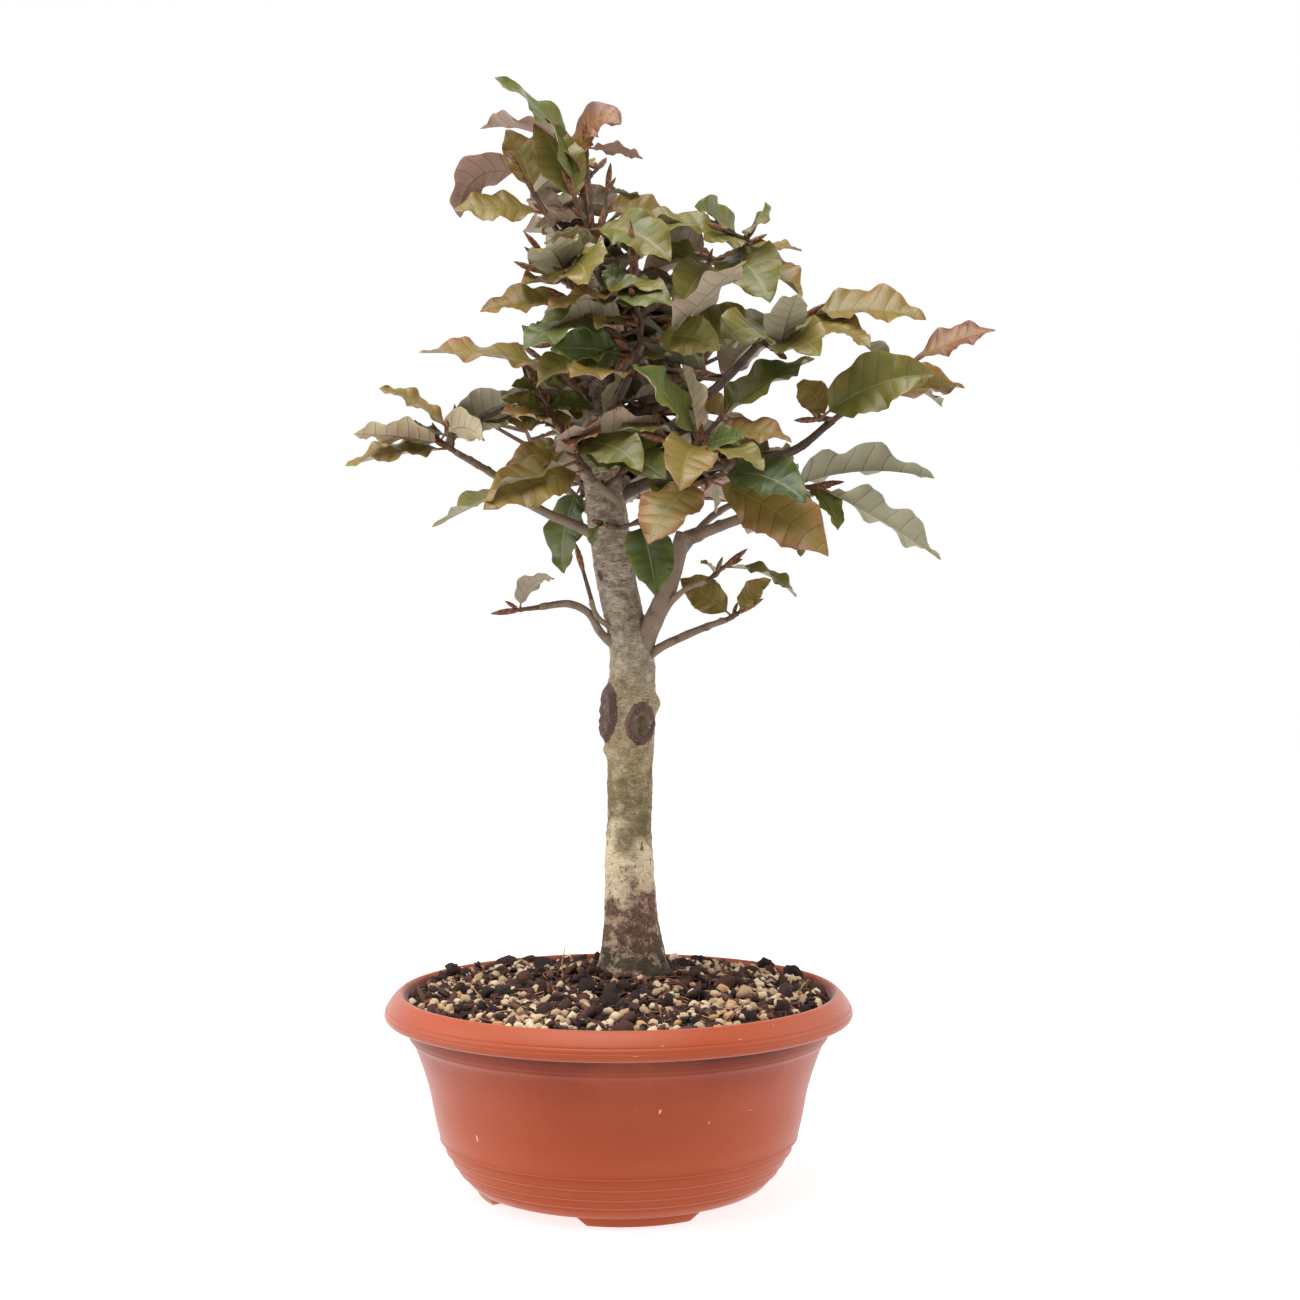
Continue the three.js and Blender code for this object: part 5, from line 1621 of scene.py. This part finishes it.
class BEECH_OT_twigs(bpy.types.Operator):
    """Grows the twigs of every mass, and the pointed buds at their tips and beside their leaves"""

    bl_idname = "beech.twigs"
    bl_label = "Twigs and buds"

    def execute(self, context):
        rng = np.random.default_rng(BUD_SEED)
        wood = Parts()
        buds = Parts()
        for name, twigs in all_twigs().items():
            for place, twig in enumerate(twigs):
                line, radius = twig_path(twig)
                bud_size = BIG_BUDS.get((name, place), (BUD_LENGTH + BUD_SINK, BUD_RADIUS))
                add_tube(wood, line, radius, TWIG_SIDES, 0)
                add_bud(buds, twig["tip"] - twig["along"] * BUD_SINK, twig["along"], *bud_size, rng)
                for foot, leaf in twig["leaves"]:
                    self.side_bud(buds, twig, foot, leaf, rng)
        twig_bark = bark_material("twig_bark", (98, 72, 54), (60, 38, 28), (130, 112, 86))
        finish_piece(wood.build("twigs", [twig_bark]), ["twig_low_left"])
        materials = [
            plain_material("bud_scale_%d" % k, colour, 0.45, 500.0, 1500.0, 0.3, 0.0004)
            for k, colour in enumerate(BUD_SHADES)]
        finish_piece(buds.build("buds", materials))
        return {"FINISHED"}

    def side_bud(self, buds, twig, foot, leaf, rng):
        """A bud in the angle between a leaf's stalk and its twig."""
        outward = direction(leaf[0], leaf[1])
        along = unit(outward * 0.75 + twig["along"] * 1.1)
        add_bud(buds, foot + along * 0.8, along, rng.uniform(8, 12), rng.uniform(1.0, 1.3), rng)


# ---- leaves ----
VEINS = 7
# Places across half a blade, as shares of its half width: on a mass's own leaves and on the finer ones.
COLUMNS = (0.022, 0.08, 0.2, 0.36, 0.52, 0.68, 0.82, 0.93, 1.0)
FINER_COLUMNS = (0.03, 0.24, 0.5, 0.78, 1.0)
LEAF_HALF_WIDTH = 0.28
LEAF_FOLD = 13
LEAF_SEED = 300
LONG_WAVES = 2.6
SHORT_WAVES = 5.6
VEIN_SKEW = 0.2
STALK_RADIUS = 0.8
STALK_SHADE = (142, 96, 66)
UNDER_VEIN_SHADE = (126, 92, 72)
MIDRIB_SHADE = (146, 126, 78)
BROWN_VEIN_SHADE = (98, 74, 42)
# How much paler a green leaf's side vein is than the skin beside it, in shades of its range.
VEIN_STEP = 3


def leaf_rows():
    """Places along the midrib for the rows of a leaf, and which gaps between them are veins."""
    veins = 0.07 + 0.82 * np.arange(VEINS) / (VEINS - 1)
    rows = [0.0, 0.02]
    vein_gaps = []
    for k, place in enumerate(veins):
        thick = 0.0068 - 0.0026 * k / VEINS
        rows += [place - 2.2 * thick, place - 0.6 * thick]
        vein_gaps.append(len(rows) - 1)
        rows += [place + 0.6 * thick, place + 2.2 * thick]
        nearest = veins[k + 1] if k + 1 < VEINS else 1.0
        rows += [place + (nearest - place) * 0.36, place + (nearest - place) * 0.64]
    rows = np.array(rows + [0.965, 1.0])
    order = np.argsort(rows)
    gaps = [int(np.where(order == g)[0][0]) for g in vein_gaps]
    return rows[order], veins, gaps


def blade_width(share):
    """Half width of an egg-shaped blade with a short point, at a share of its length."""
    u = np.clip(share, 0, 1)
    body = np.sin(np.pi * u ** 0.88) ** 0.76
    return body * (1 - 0.36 * u ** 7) + 0.004


def centre_line(leaf, share):
    """Points, directions and side vector of a leaf's midrib."""
    heading, rise, length, _, curl, _ = leaf
    side = np.cross(direction(heading, 0), np.array([0, 0, 1.0]))
    flat = direction(heading, 0)
    low = math.radians(rise)
    bend = math.radians(curl if abs(curl) > 1 else 1)
    angle = low + bend * share
    run = (np.sin(angle) - math.sin(low)) / bend
    up = -(np.cos(angle) - math.cos(low)) / bend
    points = length * (run[..., None] * flat + up[..., None] * np.array([0, 0, 1.0]))
    tangents = np.cos(angle)[..., None] * flat + np.sin(angle)[..., None] * np.array([0, 0, 1.0])
    return points, tangents, side


def make_leaf(parts, foot, leaf, chosen, slots, rng, columns):
    """One leaf: its stalk, and a blade of two skins that meet at a wavy margin."""
    heading, rise, length, roll, _, tint = leaf
    rows, veins, vein_gaps = leaf_rows()
    outward = direction(heading, rise)
    start = foot + outward * length * STALK_SHARE
    scale = length / LEAF_LENGTH
    t = np.concatenate([-np.array(columns[::-1]), np.array(columns)])[None, :]
    u = rows[:, None]
    share = u + VEIN_SKEW * np.abs(t) ** 1.15 * (1 - u) * np.sin(np.pi * np.clip(u, 0.001, 1)) ** 0.4
    share[0] = 0.0
    share[-1] = 1.0
    points, tangents, side = centre_line(leaf, share)
    turn = (math.radians(roll) + math.radians(rng.uniform(-16, 16)) * share ** 2)[..., None]
    normal = np.cross(side, tangents)
    face = normal * np.cos(turn) + side * np.sin(turn)
    across = side * np.cos(turn) - normal * np.sin(turn)
    phase = rng.uniform(0, 6.28, 4)
    nearest = np.min(np.abs(u - veins[None, :]), axis=1)[:, None]
    gap = (veins[1] - veins[0]) / 2
    tooth = 1 + 0.05 * (np.clip(1 - nearest / gap, 0, 1) - 0.5) * (np.abs(t) > 0.9)
    width = blade_width(share) * LEAF_HALF_WIDTH * length * tooth * rng.uniform(0.94, 1.08)
    fold = math.radians(LEAF_FOLD * rng.uniform(0.6, 1.3))
    reach = np.abs(t)
    pleat = chosen.leaf_pleat / MM * scale * np.sin(np.pi * np.clip(nearest / gap, 0, 1) / 2) ** 1.2
    pleat = pleat * np.clip(reach / 0.2, 0, 1) * (0.7 + 0.5 * reach ** 3)
    pleat = pleat * np.clip(width / (0.1 * length), 0, 1)
    wave = chosen.leaf_wave / MM * scale * reach ** 2 * (
        np.sin(2 * math.pi * LONG_WAVES * share + phase[0] + 1.3 * np.sign(t))
        + 0.3 * np.sin(2 * math.pi * SHORT_WAVES * share + phase[1] - np.sign(t)))
    cup = rng.uniform(-0.12, 0.1) * width * reach
    lift = width * reach * math.sin(fold) + cup + pleat + wave * np.clip(width / (0.12 * length), 0, 1)
    tilt = rng.uniform(-0.05, 0.05) * length * share ** 2
    middle = start + points + across * (t * width * math.cos(fold) + tilt)[..., None] + face * lift[..., None]
    half = chosen.leaf_thickness / MM / 2 * np.clip((1 - reach) / 0.07, 0, 1) * (1 + 1.0 * (reach < 0.05))
    half = np.broadcast_to(half, share.shape) * np.clip(np.minimum(u, 1 - u) / 0.02, 0.15, 1)
    upper = middle + face * half[..., None]
    lower = middle - face * half[..., None] - face * (0.45 * scale * (reach < 0.05) * (1 - u))[..., None]
    lower[:, 0] = upper[:, 0]
    lower[:, -1] = upper[:, -1]
    count = t.shape[1]
    faces = grid_faces(len(rows), count)
    shades = leaf_shades(tint, t[0], share, middle, vein_gaps, slots, rng)
    skin = np.concatenate([upper.reshape(-1, 3), lower.reshape(-1, 3)])
    parts.add(skin, np.concatenate([faces[:, ::-1], faces + len(rows) * count]), shades)
    share = np.linspace(0, 1, 7)[:, None]
    stalk = foot + outward * share * (length * STALK_SHARE + 1.0)
    add_tube(parts, stalk, np.linspace(1.35, 0.95, 7) * STALK_RADIUS * scale ** 0.5, 6, slots["stalk"])


def leaf_shades(tint, t, share, middle, vein_gaps, slots, rng):
    """A material slot for every face of a leaf: upper skin first, then the under skin."""
    inner, outer, under = TINTS[tint]
    shift = rng.uniform(-0.5, 0.5)
    reach = np.abs((t[:-1] + t[1:]) / 2)[None, :]
    along = (share[:-1, :-1] + share[1:, 1:]) / 2
    spots = (middle[:-1, :-1] + middle[1:, 1:]) / 2
    blotch = 0.8 * noise(spots, 13, 61) + 0.35 * noise(spots, 4, 62)
    place = inner + (outer - inner) * np.clip(0.75 * reach ** 1.4 + 0.45 * along ** 2, 0, 1) + shift + blotch
    steps = np.clip(np.round(place * SHADES_PER_KEY), 0, len(slots["upper"]) - 1).astype(int)
    upper = slots["upper"][steps]
    below = under + shift * 0.6 + 0.6 * blotch + 0.5 * reach
    lower = slots["under"][np.clip(np.round(below * SHADES_PER_KEY), 0, len(slots["under"]) - 1).astype(int)]
    rib = int(np.argmin(reach))
    paler = slots["upper"][np.clip(steps + VEIN_STEP, 0, len(slots["upper"]) - 1 - SHADES_PER_KEY)]
    veins = np.full_like(paler, slots["brown_vein"]) if outer > 3 else paler
    for gap in vein_gaps:
        fine = reach[0] < 0.92
        upper[gap, fine] = veins[gap, fine]
        lower[gap, fine] = slots["under_vein"]
    upper[:, rib] = slots["midrib"]
    lower[:, rib] = slots["under_vein"]
    return np.concatenate([upper.ravel(), lower.ravel()])


def leaf_materials():
    """All plain shades of the leaves, and where each kind starts in the list."""
    materials = []
    slots = {}
    for kind, keys, rough in (("upper", UPPER_KEYS, 0.36), ("under", UNDER_KEYS, 0.62)):
        first = len(materials)
        for k, colour in enumerate(shade_row(keys)):
            materials.append(leaf_material("leaf_%s_%02d" % (kind, k), colour, rough))
        slots[kind] = np.arange(first, len(materials))
    for kind, colour in (("midrib", MIDRIB_SHADE), ("brown_vein", BROWN_VEIN_SHADE),
                         ("under_vein", UNDER_VEIN_SHADE), ("stalk", STALK_SHADE)):
        slots[kind] = len(materials)
        materials.append(leaf_material("leaf_" + kind, colour, 0.5))
    return materials, slots


class BEECH_OT_leaves(bpy.types.Operator):
    """Hangs every mass's leaves on its twigs, pleated along their veins and tinted leaf by leaf"""

    bl_idname = "beech.leaves"
    bl_label = "Leaves"

    def execute(self, context):
        chosen = settings("plant")
        materials, slots = leaf_materials()
        for index, (name, twigs) in enumerate(all_twigs().items()):
            rng = np.random.default_rng(LEAF_SEED + index)
            parts = Parts()
            for twig in twigs:
                columns = FINER_COLUMNS if "fine" in twig else COLUMNS
                for foot, leaf in twig["leaves"]:
                    make_leaf(parts, foot, leaf, chosen, slots, rng, columns)
            if not parts.count:
                continue
            piece = parts.build("leaves_" + name.replace("foliage_", ""), materials)
            self.drop_unused(piece)
            finish_piece(piece, [name])
        return {"FINISHED"}

    def drop_unused(self, piece):
        """Takes the shades that no face uses off a piece."""
        mesh = piece.data
        slots = np.zeros(len(mesh.polygons), np.int32)
        mesh.polygons.foreach_get("material_index", slots)
        used = np.unique(slots)
        kept = [mesh.materials[int(k)] for k in used]
        mesh.materials.clear()
        for material in kept:
            mesh.materials.append(material)
        mesh.polygons.foreach_set("material_index", np.searchsorted(used, slots).astype(np.int32))


# ---- stage ----
CAMERA_PLACE = (VIEW_X, -VIEW_DISTANCE, VIEW_Z)
FOCAL_PIXELS = 1912
FRAME_PIXELS = 1300
SENSOR = 36
# The white sweep, in metres: its width, how far it runs forward and back, its bend and its wall.
SWEEP_WIDTH = 12
SWEEP_FRONT = 3
SWEEP_WALL = 3.5
SWEEP_BEND = 1.6
SWEEP_STEPS = 12
SWEEP_HEIGHT = 4
# Lamps: name, place, aim, width and power.
LAMPS = [
    ("lamp_above", (-0.3, -0.55, 2.4), (0.02, 0.0, 0.3), 1.8, 66),
    ("lamp_left", (-1.7, -0.1, 0.9), (0.02, 0, 0.3), 1.2, 17),
    ("lamp_right", (1.7, 0.1, 0.8), (0.02, 0, 0.3), 1.2, 13),
]
AIR_STRENGTH = 0.18
PAPER_SHADE = 0.4
PAPER_GLOW = 0.8


def white_material():
    """Matt white studio paper that glows a little."""
    material, _, shader, _ = new_material("studio_white")
    shader.inputs["Base Color"].default_value = (PAPER_SHADE, PAPER_SHADE, PAPER_SHADE, 1)
    shader.inputs["Roughness"].default_value = 0.9
    shader.inputs["Emission Color"].default_value = (1, 1, 1, 1)
    shader.inputs["Emission Strength"].default_value = PAPER_GLOW
    return material


class BEECH_OT_stage(bpy.types.Operator):
    """Sets the white sweep, the soft lamps and the camera"""

    bl_idname = "beech.stage"
    bl_label = "Stage"

    def execute(self, context):
        self.make_sweep()
        for lamp in LAMPS:
            self.make_lamp(*lamp)
        self.make_camera()
        world = bpy.data.worlds.new("studio_air")
        world.use_nodes = True
        world.node_tree.nodes["Background"].inputs["Color"].default_value = (1, 1, 1, 1)
        world.node_tree.nodes["Background"].inputs["Strength"].default_value = AIR_STRENGTH
        context.scene.world = world
        context.scene.view_settings.view_transform = "Standard"
        return {"FINISHED"}

    def make_sweep(self):
        """A floor that curves up into a wall behind."""
        bpy.ops.object.select_all(action="DESELECT")
        bpy.ops.mesh.primitive_plane_add(size=1, location=(0, 0, 0))
        sweep = start_piece("studio_sweep")
        sweep.scale = (SWEEP_WIDTH, SWEEP_WALL + SWEEP_FRONT, 1)
        sweep.location = (0, (SWEEP_WALL - SWEEP_FRONT) / 2, 0)
        bpy.ops.object.transform_apply(location=True, rotation=True, scale=True)
        bpy.ops.object.mode_set(mode="EDIT")
        bpy.ops.mesh.select_all(action="DESELECT")
        bpy.ops.object.mode_set(mode="OBJECT")
        for edge in sweep.data.edges:
            edge.select = all(sweep.data.vertices[k].co.y > 0 for k in edge.vertices)
        bpy.ops.object.mode_set(mode="EDIT")
        bpy.ops.mesh.select_mode(type="EDGE")
        for step in range(SWEEP_STEPS):
            angle = math.radians(90 * (step + 0.5) / SWEEP_STEPS)
            size = SWEEP_BEND * math.pi / 2 / SWEEP_STEPS
            bpy.ops.mesh.extrude_edges_move(
                TRANSFORM_OT_translate={"value": (0, size * math.cos(angle), size * math.sin(angle))})
        bpy.ops.mesh.extrude_edges_move(TRANSFORM_OT_translate={"value": (0, 0, SWEEP_HEIGHT)})
        bpy.ops.object.mode_set(mode="OBJECT")
        bpy.ops.object.shade_smooth()
        sweep.data.materials.append(white_material())

    def make_lamp(self, name, place, aim, width, power):
        """A square soft lamp that looks at a point."""
        data = bpy.data.lights.new(name, "AREA")
        data.size = width
        data.energy = power
        lamp = bpy.data.objects.new(name, data)
        lamp.location = place
        lamp.rotation_euler = (Vector(aim) - Vector(place)).to_track_quat("-Z", "Y").to_euler()
        bpy.context.scene.collection.objects.link(lamp)

    def make_camera(self):
        """A level camera in front of the plant."""
        data = bpy.data.cameras.new("studio_camera")
        data.sensor_width = SENSOR
        data.lens = FOCAL_PIXELS * SENSOR / FRAME_PIXELS
        data.clip_end = 30
        camera = bpy.data.objects.new("studio_camera", data)
        camera.location = [value * MM for value in CAMERA_PLACE]
        camera.rotation_euler = (math.radians(90), 0, 0)
        bpy.context.scene.collection.objects.link(camera)
        bpy.context.scene.camera = camera


OPERATORS = [BEECH_OT_bowl, BEECH_OT_soil, BEECH_OT_trunk, BEECH_OT_boughs, BEECH_OT_twigs, BEECH_OT_leaves,
             BEECH_OT_stage]
GROUPS = {"bowl": BeechBowlSettings, "soil": BeechSoilSettings, "plant": BeechPlantSettings}


class BEECH_PT_panel(bpy.types.Panel):
    """Lists the settings and the operators, in the order in which they run"""

    bl_idname = "BEECH_PT_panel"
    bl_label = "Beech"
    bl_space_type = "VIEW_3D"
    bl_region_type = "UI"
    bl_category = "Beech"

    def draw(self, context):
        for kind, group in GROUPS.items():
            box = self.layout.box()
            for key in group.__annotations__:
                box.prop(settings(kind), key)
        for operator in OPERATORS:
            self.layout.operator(operator.bl_idname)


def register():
    """Makes the settings, operators and panel known."""
    for kind, group in GROUPS.items():
        bpy.utils.register_class(group)
        setattr(bpy.types.Scene, "beech_" + kind, bpy.props.PointerProperty(type=group))
    for item in OPERATORS + [BEECH_PT_panel]:
        bpy.utils.register_class(item)


def unregister():
    """Takes the settings, operators and panel away again."""
    for item in reversed(OPERATORS + [BEECH_PT_panel]):
        bpy.utils.unregister_class(item)
    for kind, group in GROUPS.items():
        delattr(bpy.types.Scene, "beech_" + kind)
        bpy.utils.unregister_class(group)


def main():
    """Builds the whole scene."""
    register()
    bpy.ops.beech.bowl()
    bpy.ops.beech.soil()
    bpy.ops.beech.trunk()
    bpy.ops.beech.boughs()
    bpy.ops.beech.twigs()
    bpy.ops.beech.leaves()
    bpy.ops.beech.stage()
    bpy.context.view_layer.update()


if __name__ == "__main__":
    main()
